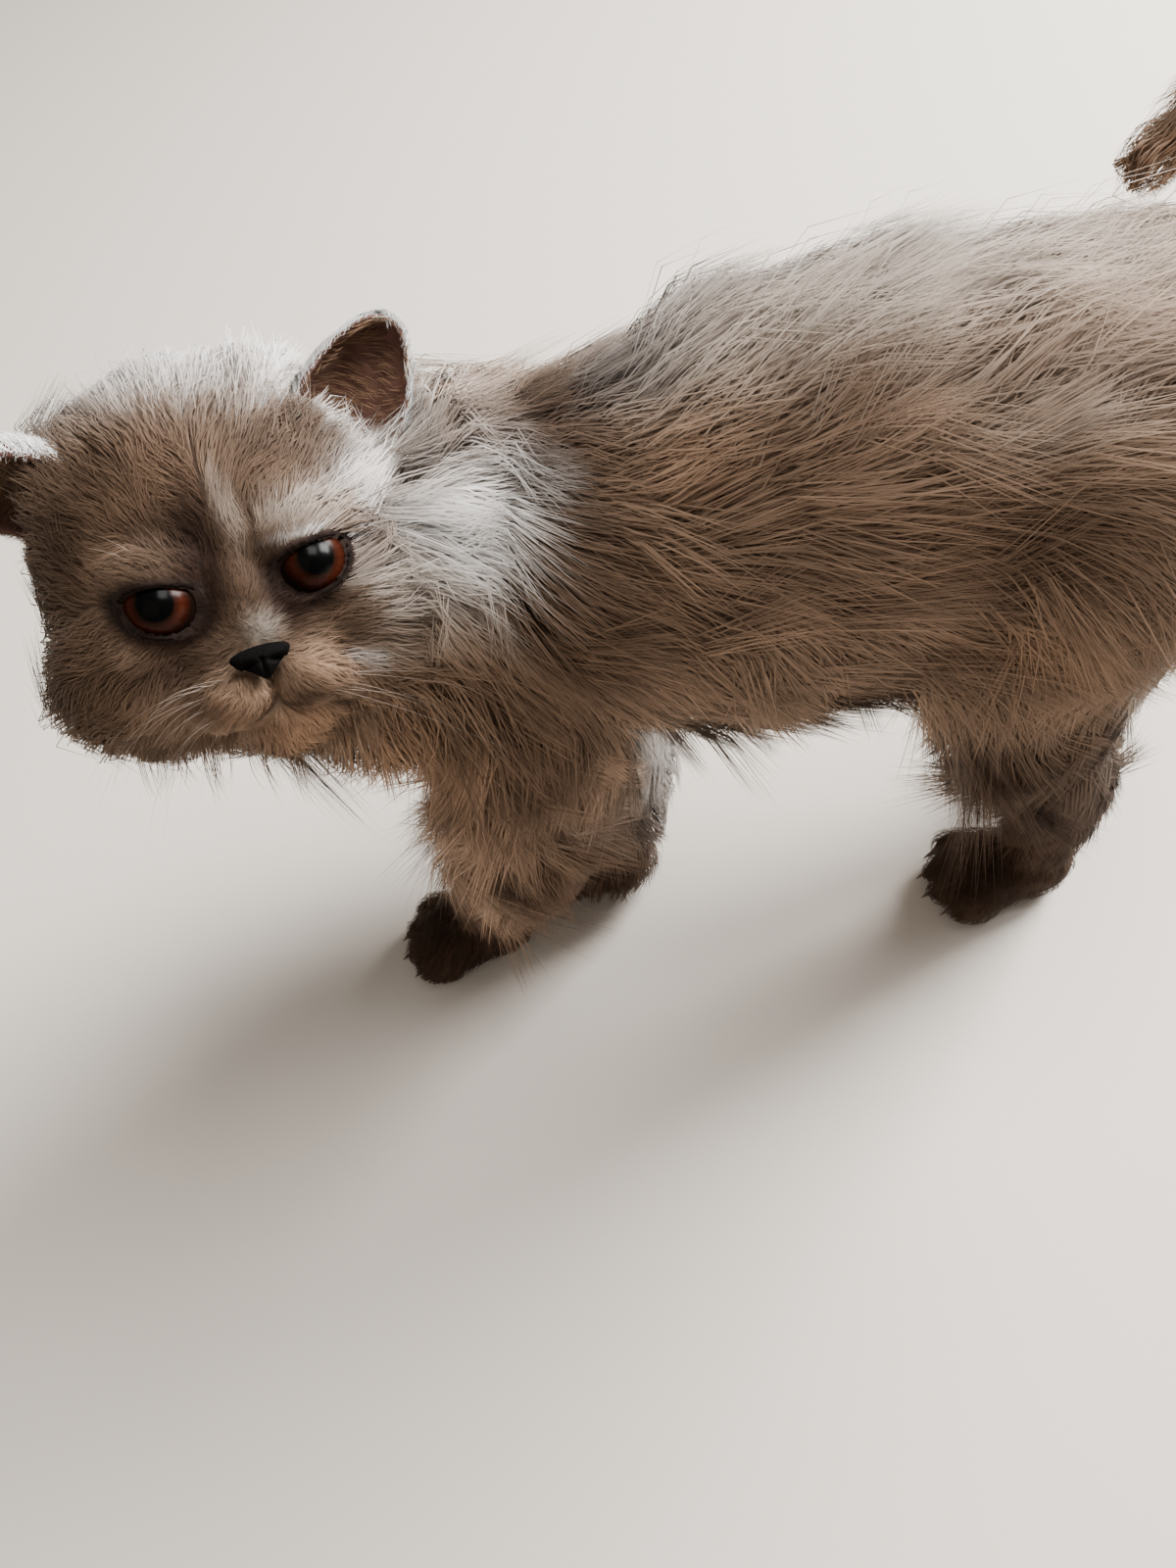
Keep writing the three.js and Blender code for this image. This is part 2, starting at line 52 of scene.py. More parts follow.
# Stations are x, y and z of the middle, then half the width and half the depth at the coat's
# outside. coat is how far the skin lies under that.
forms = {
    "trunk": {
        "line": [
            (-76, 0, 172, 34, 36), (-60, 0, 174, 48, 50), (-42, 0, 177, 55, 57), (-16, 0, 181, 59, 64),
            (12, 0, 184, 60, 68), (42, 0, 186, 60, 68), (72, 0, 189, 60, 66), (102, 0, 193, 59, 60),
            (132, 0, 194, 54, 52), (156, 0, 190, 46, 44),
        ],
        "coat": 14, "cap": 0.14,
    },
    "neck": {
        "line": [(-116, -16, 198, 44, 46), (-98, -8, 190, 51, 58), (-76, -1, 186, 54, 66), (-50, 0, 180, 51, 60)],
        "coat": 14,
    },
    "tail": {
        "line": [
            (158, 0, 210, 18, 18), (184, 6, 226, 21, 21), (206, 24, 246, 24, 24), (216, 50, 261, 26, 26),
            (206, 76, 261, 26, 26), (184, 89, 246, 22, 22), (163, 92, 228, 17, 17), (148, 93, 216, 12, 12),
        ],
        "coat": 13, "cap": 0.08, "bulge": 1.1, "top": (-0.5, 0, 0.8), "least": 4,
    },
    "foreLeftUpper": {"line": [(-56, -28, 168, 30, 32), (-50, -34, 138, 28, 32), (-52, -36, 112, 26, 31)], "coat": 9},
    "foreLeftLower": {
        "line": [(-55, -36, 102, 25, 30), (-70, -33, 68, 23, 28), (-87, -29, 38, 21, 24), (-93, -28, 24, 18, 20)],
        "coat": 7,
    },
    "foreRightUpper": {"line": [(-54, 30, 168, 30, 32), (-42, 34, 138, 28, 31), (-36, 33, 112, 25, 28)], "coat": 9},
    "foreRightLower": {
        "line": [(-34, 31, 100, 22, 25), (-34, 20, 68, 20, 22), (-39, 5, 38, 18, 19), (-44, 0, 24, 16, 17)],
        "coat": 6,
    },
    "hindLeftUpper": {"line": [(120, -24, 184, 34, 42), (102, -32, 150, 31, 39), (100, -34, 122, 26, 32)], "coat": 9},
    "hindLeftLower": {"line": [(102, -33, 112, 23, 28), (113, -31, 88, 20, 23), (119, -29, 70, 18, 20)], "coat": 6},
    "hindLeftHock": {"line": [(121, -28, 62, 17, 19), (119, -26, 40, 16, 18), (116, -26, 24, 15, 17)], "coat": 5},
    "hindRightUpper": {"line": [(124, 26, 184, 34, 42), (122, 33, 150, 31, 40), (130, 34, 122, 26, 32)], "coat": 9},
    "hindRightLower": {"line": [(134, 33, 112, 23, 28), (150, 33, 90, 20, 22), (159, 33, 73, 18, 20)], "coat": 6},
    "hindRightHock": {"line": [(161, 33, 65, 17, 19), (157, 34, 40, 16, 17), (152, 34, 24, 15, 16)], "coat": 5},
}
paws = {
    "foreLeft": {"x": -104, "y": -28, "turn": 4},
    "foreRight": {"x": -56, "y": -2, "turn": -6},
    "hindLeft": {"x": 106, "y": -26, "turn": 2},
    "hindRight": {"x": 141, "y": 34, "turn": 0},
}
for name, form in forms.items():
    isLeg = name not in ("trunk", "neck", "tail")
    standard = {"cap": 0.2, "bulge": 0.8, "least": 6, "top": (1, 0, 0) if isLeg else (0, 0, 1)}
    forms[name] = {**standard, **form}

# The head is built on its own axes: l to the cat's left, u up, f out of the face.
head = {
    "middle": (-118, -33, 216),
    "facing": (0.367, -0.69, 0.625),
    "up": (-0.136, 0.637, 0.759),
    "eye": {"l": 18.8, "u": 0, "f": 19.5, "radius": 10.5, "wide": 10.0, "low": 7.7, "top": 5.2, "slant": 0.16,
        "deeper": 1.2},
}


def unit(vectors):
    return vectors / np.maximum(np.linalg.norm(vectors, axis=-1, keepdims=True), 1e-9)


headF = unit(np.array(head["facing"]))
headU = unit(np.array(head["up"]) - headF * np.dot(head["up"], headF))
headL = np.cross(headU, headF)
headAxes = np.array([headL, headU, headF])


def fromHead(places):
    return np.asarray(places, float) @ headAxes + np.array(head["middle"])


def toHead(points):
    return (np.asarray(points, float) - np.array(head["middle"])) @ headAxes.T


# The solids' eyes are whole balls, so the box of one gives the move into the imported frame.
eyeLow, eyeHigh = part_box("eye_left")
eyeMiddle = np.array([eyeLow, eyeHigh], float).mean(0) * 1000
move = eyeMiddle - fromHead([head["eye"]["l"], head["eye"]["u"], head["eye"]["f"]])


def toFrame(points):
    return (np.asarray(points, float) + move) / 1000


def curveAt(stations, shares):
    p = np.array(stations, float)
    p = np.vstack([2 * p[0] - p[1], p, 2 * p[-1] - p[-2]])
    along = np.clip(shares, 0, 1) * (len(stations) - 1)
    i = np.minimum(along.astype(int), len(stations) - 2)
    w = (along - i)[:, None]
    p0, p1, p2, p3 = p[i], p[i + 1], p[i + 2], p[i + 3]
    gap0, gap1, gap2 = [((b - a) ** 2).sum(1)[:, None] ** 0.25 for a, b in ((p0, p1), (p1, p2), (p2, p3))]
    gap1 = np.where(gap1 < 1e-4, 1.0, gap1)
    gap0 = np.where(gap0 < 1e-4, gap1, gap0)
    gap2 = np.where(gap2 < 1e-4, gap1, gap2)
    t1 = ((p1 - p0) / gap0 - (p2 - p0) / (gap0 + gap1) + (p2 - p1) / gap1) * gap1
    t2 = ((p2 - p1) / gap1 - (p3 - p1) / (gap1 + gap2) + (p3 - p2) / gap2) * gap1
    return p1 + t1 * w + (3 * (p2 - p1) - 2 * t1 - t2) * w ** 2 + (2 * (p1 - p2) + t1 + t2) * w ** 3


def formFrames(form, shares):
    path = [s[:3] for s in form["line"]]
    size = [(s[3], s[4], 0) for s in form["line"]]
    tangent = unit(curveAt(path, shares + 1e-4) - curveAt(path, shares - 1e-4))
    across = unit(np.cross(np.array(form["top"], float), tangent))
    return curveAt(path, shares), curveAt(size, shares)[:, :2], tangent, across, np.cross(tangent, across)


def formPlaces(form, v, angle):
    cap = form["cap"]
    middle, size, tangent, across, over = formFrames(form, np.clip((v - cap) / (1 - 2 * cap), 0, 1))
    swing = np.where(v < cap, v / cap - 1, np.maximum(0, (v - 1 + cap) / cap)) * math.pi / 2
    under = np.maximum(size - form["coat"], form["least"])
    far = (np.sin(swing) * (form["bulge"] * size.min(1) - form["coat"]))[:, None]
    wide = (np.cos(swing) * np.cos(angle) * under[:, 0])[:, None]
    deep = (np.cos(swing) * np.sin(angle) * under[:, 1])[:, None]
    return middle + tangent * far + across * wide + over * deep


def meshOf(bm, name):
    mesh = bpy.data.meshes.new(name)
    bm.to_mesh(mesh)
    bm.free()
    piece = bpy.data.objects.new(name, mesh)
    bpy.context.scene.collection.objects.link(piece)
    return piece


def coordsOf(mesh):
    places = np.zeros(len(mesh.vertices) * 3, np.float32)
    mesh.vertices.foreach_get("co", places)
    return places.reshape(-1, 3).astype(float)


def setCoords(mesh, places):
    mesh.vertices.foreach_set("co", np.asarray(places, np.float32).ravel())
    mesh.update()


def applyModifiers(piece):
    graph = bpy.context.evaluated_depsgraph_get()
    done = bpy.data.meshes.new_from_object(piece.evaluated_get(graph))
    piece.modifiers.clear()
    piece.data = done


# Ears: thin cups open to the front, leaning out. The right one is turned down, the left one upright,
# and the coat leaves the left one in view.
earShapes = {
    1: {"l": 42, "u": 34, "f": -5, "lean": 40, "turn": 0, "length": 30, "wide": 15.5, "deep": 10, "wall": 1.4},
    -1: {"l": 43, "u": 37, "f": -4, "lean": 66, "turn": 44, "length": 28, "wide": 14, "deep": 10, "wall": 1.4},
}


def upEar(onHead):
    e = earShapes[1]
    lean = math.radians(e["lean"])
    return ((onHead[..., 0] - e["l"]) * math.sin(lean) + (onHead[..., 1] - e["u"]) * math.cos(lean)) / e["length"]


def clearOfEar(onHead):
    e = earShapes[1]
    lean = math.radians(e["lean"])
    places = onHead.copy()
    a = places[..., 0] - e["l"]
    b = places[..., 1] - e["u"]
    along = upEar(places)
    ring = np.hypot((a * math.cos(lean) - b * math.sin(lean)) / e["wide"], along)
    back = e["f"] - 1.5 - e["deep"] * np.sqrt(np.clip(1 - ring ** 2, 0, 1))
    limit = back + 50 * np.maximum(0, ring - 1.02) + 150 * np.maximum(0, -0.36 - along)
    places[..., 2] = np.where(places[..., 2] > -30, np.minimum(places[..., 2], limit), places[..., 2])
    return places


# One skin, joined from bent round-ended forms and balls, then remeshed as one surface
skinShape = {"voxel": 1.8, "smooth": 5, "around": 40, "rings": 32}
skull = [  # middle and half sizes on the head's axes, and the mirrored ones given once
    ((0, 11, -8), (45, 42, 33)), ((0, -11, -1), (39, 27, 29)), ((0, -5, 19), (9, 13, 11.5)),
    ((0, -34.5, 12), (10.5, 7, 13)),
]
skullPairs = [
    ((25, -12, 0), (21, 23, 25)), ((16, 8.5, 13.5), (16, 9.5, 15)), ((9.6, -26, 16.5), (12.5, 9.4, 14.5)),
    ((18.8, 0, 18.6), (12.0, 12.0, 12.0)),
]
toes = {"back": -15, "front": -20, "apart": 8.8, "size": (9.2, 5.9, 8.6), "up": 8.2}


def skinForms():
    bm = bmesh.new()
    for form in forms.values():
        new = bmesh.ops.create_uvsphere(bm, u_segments=skinShape["around"], v_segments=skinShape["rings"], radius=1)
        verts = new["verts"]
        ball = np.array([v.co for v in verts])
        v = np.arccos(np.clip(-ball[:, 2], -1, 1)) / math.pi
        for vert, place in zip(verts, formPlaces(form, v, np.arctan2(ball[:, 1], ball[:, 0]))):
            vert.co = place
    balls = list(skull)
    for (l, u, f), size in skullPairs:
        balls += [((side * l, u, f), size) for side in (-1, 1)]
    turnHead = Matrix([list(axis) for axis in headAxes]).transposed().to_4x4()
    for place, size in balls:
        matrix = Matrix.Translation(Vector(fromHead(place))) @ turnHead @ Matrix.Diagonal((*size, 1))
        bmesh.ops.create_uvsphere(bm, u_segments=32, v_segments=24, radius=1, matrix=matrix)
    for paw in paws.values():
        heading = Matrix.Translation((paw["x"], paw["y"], 0)) @ Matrix.Rotation(math.radians(paw["turn"]), 4, "Z")
        parts = [((8, 0, 14), (17, 13.5, 14)), ((-6, 0, 11.5), (15, 16, 11.5))]
        for k, x in zip((-1.5, -0.5, 0.5, 1.5), ("back", "front", "front", "back")):
            parts.append(((toes[x], k * toes["apart"], toes["up"]), toes["size"]))
        for place, size in parts:
            matrix = heading @ Matrix.Translation(place) @ Matrix.Diagonal((*size, 1))
            bmesh.ops.create_uvsphere(bm, u_segments=24, v_segments=16, radius=1, matrix=matrix)
    return bm


def eyeOpening(places, side):
    eye = head["eye"]
    across = places[:, 0] * side - eye["l"]
    up = places[:, 1] - eye["u"] - eye["slant"] * across
    power = np.where(up > 0, 2.8, 2.2)
    size = np.where(up > 0, eye["top"], eye["low"])
    return (np.abs(across / eye["wide"]) ** power + np.abs(up / size) ** power) ** (1 / power)


mouth = {"top": -21.5, "fork": -28.5, "corner": 15, "drop": 5.5, "width": 1.1, "depth": 2.0}


def mouthDistance(places):
    l, u = np.abs(places[:, 0]), places[:, 1]
    share = np.clip(l / mouth["corner"], 0, 1)
    lip = mouth["fork"] - mouth["drop"] * (1 - (1 - share) ** 2)
    beside = np.maximum(0, l - mouth["corner"])
    split = np.hypot(l, np.maximum(0, u - mouth["top"]) + np.maximum(0, mouth["fork"] - u))
    return np.minimum(np.hypot(u - lip, beside), split)


def makeSkin():
    piece = meshOf(skinForms(), "skin")
    remesh = piece.modifiers.new("oneSurface", "REMESH")
    remesh.mode = "VOXEL"
    remesh.voxel_size = skinShape["voxel"]
    applyModifiers(piece)
    bm = bmesh.new()
    bm.from_mesh(piece.data)
    for _ in range(skinShape["smooth"]):
        bmesh.ops.smooth_vert(bm, verts=bm.verts, factor=0.5, use_axis_x=True, use_axis_y=True, use_axis_z=True)
    # finer round the eyes and the mouth
    eye = head["eye"]
    centre = np.array([face.calc_center_median() for face in bm.faces])
    onFace = toHead(centre)
    near = (mouthDistance(onFace) < 4) & (onFace[:, 2] > 8)
    for side in (-1, 1):
        ring = eyeOpening(onFace, side)
        near |= (ring > 0.6) & (ring < 1.6) & (onFace[:, 2] > 8)
    bm.faces.ensure_lookup_table()
    edges = {edge for i in np.nonzero(near)[0] for edge in bm.faces[i].edges}
    bmesh.ops.subdivide_edges(bm, edges=list(edges), cuts=1, use_grid_fill=True)
    places = np.array([vert.co for vert in bm.verts])
    onFace = toHead(places)
    # the skin turns in under each eyeball inside the opening
    for side in (-1, 1):
        ball = np.array([side * eye["l"], eye["u"], eye["f"] - eye["deeper"]])
        inside = (eyeOpening(onFace, side) < 1.0) & (onFace[:, 2] > eye["f"])
        onFace[inside] = ball + unit(onFace[inside] - ball) * (eye["radius"] - 1.5)
    # the lips part in a shallow groove
    near = np.exp(-(mouthDistance(onFace) / mouth["width"]) ** 2) * (onFace[:, 2] > 8)
    onFace[:, 2] -= mouth["depth"] * near
    places = fromHead(clearOfEar(onFace))
    places[:, 2] = np.maximum(places[:, 2], 0.2)
    bmesh.ops.triangulate(bm, faces=bm.faces)
    for vert, place in zip(bm.verts, places):
        vert.co = place
    bm.to_mesh(piece.data)
    bm.free()
    return piece


def unwrap(piece, margin):
    bpy.ops.object.select_all(action="DESELECT")
    piece.select_set(True)
    bpy.context.view_layer.objects.active = piece
    piece.data.uv_layers.new(name="OFBake")
    bpy.ops.object.mode_set(mode="EDIT")
    bpy.ops.mesh.select_all(action="SELECT")
    bpy.ops.uv.smart_project(angle_limit=math.radians(75), island_margin=margin)
    bpy.ops.object.mode_set(mode="OBJECT")


skin = makeSkin()
unwrap(skin, 0.004)
print("skin", len(skin.data.polygons), "faces")

# Markings: base colour by form, then soft blobs, each a middle, a reach and a strength. Some blobs are painted light or
# painted shade, as noted at each.
colours = {
    "white": (0.82, 0.79, 0.76), "silver": (0.40, 0.35, 0.30), "smoke": (0.205, 0.135, 0.090),
    "brown": (0.085, 0.050, 0.030), "warm": (0.34, 0.205, 0.125), "dark": (0.016, 0.006, 0.003),
    "cream": (0.60, 0.41, 0.29), "umber": (0.046, 0.025, 0.014), "grey": (0.19, 0.17, 0.155),
}
bodyMarks = [
    # partly the coat's silver, partly painted light on the top of the back
    {"at": (60, 4, 256), "reach": (100, 32, 20), "colour": "silver", "strength": 0.85},  # back
    {"at": (90, -16, 240), "reach": (34, 20, 14), "colour": "smoke", "strength": 0.3},
    # painted rim light along the far edge of the back
    {"at": (20, 24, 262), "reach": (110, 14, 30), "colour": "white", "strength": 0.45},  # far edge of the back
    # partly the coat's white, partly painted light on the top of the crown
    {"at": (-128, 16, 260), "reach": (52, 22, 20), "colour": "white", "strength": 0.9},  # back of the crown
    {"at": (22, 0, 262), "reach": (44, 7, 14), "colour": "brown", "strength": 0.8},  # along the spine
    # painted shadow: a dark band behind the ruff, where it shades the shoulder
    {"at": (-26, -14, 232), "reach": (15, 34, 30), "colour": "brown", "strength": 0.95},  # behind the ruff
    {"at": (-8, 2, 246), "reach": (22, 22, 16), "colour": "grey", "strength": 0.85},  # withers
    # painted shadow: the dark line right behind the ruff
    {"at": (-40, -8, 243), "reach": (11, 26, 24), "colour": "umber", "strength": 0.9},
    {"at": (-34, -44, 190), "reach": (20, 26, 24), "colour": "brown", "strength": 0.7},  # shoulder
    {"at": (36, -30, 238), "reach": (16, 16, 12), "colour": "brown", "strength": 0.6},
    {"at": (8, -36, 232), "reach": (16, 16, 8), "colour": "warm", "strength": 0.35},
    {"at": (90, -26, 230), "reach": (24, 16, 9), "colour": "silver", "strength": 0.5},
    {"at": (84, -48, 204), "reach": (28, 24, 15), "colour": "brown", "strength": 0.9},  # thigh
    {"at": (84, -54, 176), "reach": (20, 20, 10), "colour": "warm", "strength": 0.5},
    {"at": (-90, -50, 140), "reach": (30, 40, 34), "colour": "warm", "strength": 0.8},  # bib
    {"at": (-48, -56, 146), "reach": (13, 20, 30), "colour": "brown", "strength": 0.8},
    # partly the belly's pale coat, partly painted back light glowing through the belly fringe
    {"at": (20, 0, 122), "reach": (75, 80, 24), "colour": "cream", "strength": 0.85},  # belly
    # partly the coat's white, partly painted light on the rump
    {"at": (165, 0, 150), "reach": (26, 50, 50), "colour": "white", "strength": 0.6},  # breeches
    {"at": (126, -44, 130), "reach": (9, 26, 34), "colour": "silver", "strength": 0.8},
    # partly the belly's pale coat, partly painted back light glowing through the belly fringe
    {"at": (24, 6, 114), "reach": (60, 60, 16), "colour": "white", "strength": 0.8},
    # partly the ruff's white coat, partly painted light on it
    {"at": (-52, -36, 225), "reach": (19, 22, 20), "colour": "white", "strength": 0.98},  # left ruff
    {"at": (-76, -46, 206), "reach": (12, 14, 8), "colour": "silver", "strength": 0.6},
    {"at": (-80, 10, 246), "reach": (26, 28, 24), "colour": "white", "strength": 0.9},  # nape
    {"at": (-40, 22, 92), "reach": (34, 34, 60), "colour": "white", "strength": 0.95},  # right foreleg
    # painted bounce light from the floor on the front of the left foreleg
    {"at": (-82, -47, 90), "reach": (22, 24, 34), "colour": "cream", "strength": 0.85},
    {"at": (98, -48, 112), "reach": (30, 30, 30), "colour": "umber", "strength": 0.85},
    {"at": (112, -30, 60), "reach": (30, 26, 40), "colour": "umber", "strength": 0.85},
    {"at": (-106, -28, 8), "reach": (26, 26, 20), "colour": "dark", "strength": 0.9},
    {"at": (-60, -2, 8), "reach": (26, 24, 16), "colour": "dark", "strength": 0.8},
    {"at": (102, -26, 8), "reach": (28, 26, 26), "colour": "dark", "strength": 0.8},
    {"at": (137, 34, 8), "reach": (28, 26, 24), "colour": "dark", "strength": 0.75},
    # painted light on the lit tip of the tail
    {"at": (150, 92, 216), "reach": (30, 34, 34), "colour": "cream", "strength": 0.6},  # tail tip
]
faceMarks = [  # middle as l and u, on the front half of the head
    # partly the coat's white, partly painted light on the top of the crown
    {"at": (0, 70), "reach": (64, 16), "colour": "white", "strength": 0.9},  # crown
    # partly the coat's brown, partly painted shade on the forehead
    {"at": (10, 32), "reach": (32, 18), "colour": "brown", "strength": 0.6},
    {"at": (24, 28), "reach": (20, 15), "colour": "brown", "strength": 0.85},
    {"at": (32, 34), "reach": (12, 12), "colour": "brown", "strength": 0.7},
    {"at": (-20, 28), "reach": (22, 18), "colour": "brown", "strength": 0.75},
    {"at": (-43, 26), "reach": (10, 13), "colour": "dark", "strength": 0.8},
    {"at": (42, 18), "reach": (12, 7), "colour": "white", "strength": 0.4},  # left brow
    {"at": (22, 15), "reach": (14, 5), "colour": "silver", "strength": 0.5},
    {"at": (-27, 11), "reach": (9, 5), "colour": "smoke", "strength": 0.5},  # right brow
    # partly the cheek ruff's white coat, partly painted light on it
    {"at": (52, 10), "reach": (13, 14), "colour": "white", "strength": 0.8},  # left cheek
    {"at": (-4, 22), "reach": (5, 13), "colour": "umber", "strength": 0.8},
    {"at": (-7, 10), "reach": (9, 12), "colour": "umber", "strength": 0.95},
    {"at": (-6, 8), "reach": (7, 14), "colour": "dark", "strength": 0.9},
    {"at": (3, -1), "reach": (6, 8), "colour": "umber", "strength": 0.9},
    {"at": (3.6, 3), "reach": (6, 8), "colour": "brown", "strength": 0.8},
    {"at": (3.6, 20), "reach": (3, 11), "colour": "silver", "strength": 0.3},
    {"at": (8, 15), "reach": (1.7, 8), "colour": "umber", "strength": 0.85},
    {"at": (-18, -2), "reach": (14, 11), "colour": "dark", "strength": 0.85},
    {"at": (18, -2), "reach": (14, 10), "colour": "dark", "strength": 0.85},
    {"at": (20, 8.4), "reach": (8, 1.3), "colour": "white", "strength": 0.6},
    {"at": (11, -8), "reach": (6.5, 8), "colour": "dark", "strength": 0.97},
    {"at": (2, -11.5), "reach": (4.6, 4.4), "colour": "silver", "strength": 0.7},  # bridge
    {"at": (31, -11), "reach": (12, 10), "colour": "umber", "strength": 0.8},
    {"at": (34, -24), "reach": (14, 6), "colour": "brown", "strength": 0.6},
    {"at": (42, -9), "reach": (8, 9), "colour": "silver", "strength": 0.7},
    # painted shadow under the right eye
    {"at": (-23, -15), "reach": (13, 6), "colour": "dark", "strength": 0.8},
    {"at": (-42, -6), "reach": (10, 22), "colour": "brown", "strength": 0.7},
    {"at": (14, -24), "reach": (12, 5), "colour": "warm", "strength": 0.5},
    # painted highlight on the left whisker pad
    {"at": (27, -27), "reach": (4.5, 3), "colour": "white", "strength": 0.6},
    {"at": (-11, -27), "reach": (8, 6), "colour": "warm", "strength": 0.4},
    {"at": (6, -31.5), "reach": (6, 2), "colour": "dark", "strength": 0.7},
    {"at": (4, -40), "reach": (11, 6), "colour": "warm", "strength": 0.95},  # chin
]
baseColours = {"trunk": "smoke", "neck": "smoke", "tail": "smoke", "head": "smoke", "paw": "brown"}


def readForm(form, points):
    shares = np.linspace(0, 1, 36)
    middle, size, tangent, across, over = formFrames(form, shares)
    best = ((points[:, None, :] - middle[None]) ** 2).sum(2).argmin(1)
    off = points - middle[best]
    a = (off * across[best]).sum(1) / size[best, 0]
    o = (off * over[best]).sum(1) / size[best, 1]
    e = (off * tangent[best]).sum(1) / size[best].min(1)
    return {"share": shares[best], "back": -o, "near": np.sqrt(a * a + o * o + e * e), "tangent": tangent[best]}


def readPaw(paw, points):
    off = (points - np.array([paw["x"] - 3, paw["y"], 11])) / np.array([26, 18, 16])
    return np.linalg.norm(off, axis=1)


# Hair by place: which way it lies, how long it is and how far it stands off
coatRules = {
    "trunk": {"along": 1.0, "fall": 0.75, "length": 42, "lift": 11, "hang": 0.1},
    "neck": {"along": 1.0, "fall": 0.6, "length": 40, "lift": 13, "hang": 0.2},
    "tail": {"along": 1.0, "fall": 0.1, "length": 32, "lift": 9, "hang": 0.1},
    "leg": {"along": 1.0, "fall": 0.2, "length": 30, "lift": 8, "hang": 0.15},
    "paw": {"along": 1.0, "fall": 0.5, "length": 7, "lift": 2.5, "hang": 0.0},
    "head": {"along": 1.0, "fall": 0.1, "length": 30, "lift": 8, "hang": 0.1},
}


def coatAt(points):
    names = list(forms) + list(paws) + ["head"]
    count = len(points)
    lie = np.zeros((count, 3))
    numbers = {key: np.zeros(count) for key in ("length", "lift", "hang")}
    tone = np.zeros((count, 3))
    total = np.zeros(count)
    nears = []
    down = np.array([0, 0, -1.0])
    onHead = toHead(points)
    for name in names:
        if name == "head":
            kind = "head"
            near = np.linalg.norm((onHead - [0, 1, -4]) / [49, 48, 38], axis=1)
            nose = np.array([0, -15, 30.0])
            away = (onHead - nose) * [1.0, 1.0, 1.35]
            run = unit(away @ headAxes)
            radius = np.linalg.norm((onHead - nose) * [1, 1, 0.8], axis=1)
            length = np.interp(radius, [0, 10, 22, 36, 52, 70, 90], [1.5, 2.5, 5, 9, 17, 26, 32])
            ruff = np.clip((onHead[:, 0] - 20) / 20, 0, 1) * np.clip((radius - 36) / 16, 0, 1)
            length += 14 * ruff
            cheek = np.clip((-24 - onHead[:, 0]) / 14, 0, 1) * np.clip((radius - 30) / 16, 0, 1)
            length += 12 * cheek
            crown = np.clip((onHead[:, 1] - 22) / 14, 0, 1)
            corner = crown * np.exp(-((np.abs(onHead[:, 0]) - 36) / 13) ** 2)
            length += np.where(onHead[:, 0] < 0, 14, 5) * corner + 1 * crown
            jaw = np.clip((-18 - onHead[:, 1]) / 12, 0, 1) * np.clip((26 - onHead[:, 0]) / 10, 0, 1)
            length *= 1 - 0.5 * jaw
            for side in (-1, 1):
                length *= np.clip((eyeOpening(onHead, side) - 0.9) / 1.3, 0.18, 1)
            for side in (-1, 1):
                fromEar = np.linalg.norm((onHead - [side * 42, 27, 4]) / [1, 1, 1.2], axis=1)
                length *= np.clip((fromEar - 12) / 18, 0.14 if side > 0 else 0.5, 1)
            lift = length * (0.26 + 0.3 * ruff + 0.25 * cheek + 0.2 * corner + 0.14 * crown)
        elif name in paws:
            kind = "paw"
            near = readPaw(paws[name], points)
            run = np.tile([-0.85, 0, -0.5], (count, 1))
            length = np.interp(points[:, 2], [0, 6, 20, 30], [4, 7, 10, 14])
            lift = length * 0.3
        else:
            kind = name if name in coatRules else "leg"
            reading = readForm(forms[name], points)
            near = reading["near"]
            run = reading["tangent"]
            length = np.full(count, float(coatRules[kind]["length"]))
            lift = np.full(count, float(coatRules[kind]["lift"]))
            if kind == "leg":
                back = np.clip(reading["back"], 0, 1)
                feather = {"foreLeft": 0.2, "foreRight": 1.3}.get(name[:-5], 0.5)
                length = np.interp(points[:, 2], [10, 30, 60, 100, 140], [9, 13, 18, 25, 32])
                length *= 0.8 + feather * back
                lift = length * (0.2 + 0.24 * feather * back)
                if name.startswith("foreRight"):
                    length = length + 6
                    lift = lift + 7
        rule = coatRules[kind]
        weight = near ** -9.0
        lie += weight[:, None] * unit(run * rule["along"] + down * rule["fall"])
        base = colours[baseColours.get(kind, "brown")]
        if kind == "leg":
            mix = np.clip((points[:, 2] - 90) / 70, 0, 1)[:, None]
            base = np.array(colours["brown"]) * (1 - mix) + np.array(colours["smoke"]) * mix
        tone += weight[:, None] * np.array(base)
        for key, value in (("length", length), ("lift", lift), ("hang", np.full(count, rule["hang"]))):
            numbers[key] += weight * value
        total += weight
        nears.append(near)
    for key in numbers:
        numbers[key] /= total
    tone /= total[:, None]
    # the underside of the body hangs
    belly = np.clip((156 - points[:, 2]) / 30, 0, 1) * np.clip((points[:, 2] - 95) / 15, 0, 1)
    underneath = belly * (np.abs(points[:, 0]) < 130)
    numbers["hang"] = np.maximum(numbers["hang"], 0.8 * underneath)
    numbers["length"] = numbers["length"] * (1 - 0.45 * underneath * (points[:, 1] > -24))
    # the bib and the front of the shoulder fall straight down and stand forward
    z = points[:, 2]
    bib = np.clip((-48 - points[:, 0]) / 24, 0, 1) * np.clip((205 - z) / 35, 0, 1) * np.clip((z - 60) / 30, 0, 1)
    numbers["length"] = numbers["length"] + 10 * bib
    numbers["lift"] = numbers["lift"] + 17 * bib
    numbers["hang"] = np.maximum(numbers["hang"], 0.4 * bib)
    lie = unit(lie) * (1 - 0.7 * bib[:, None]) + np.array([-0.3, -0.1, -0.9]) * (0.7 * bib[:, None])
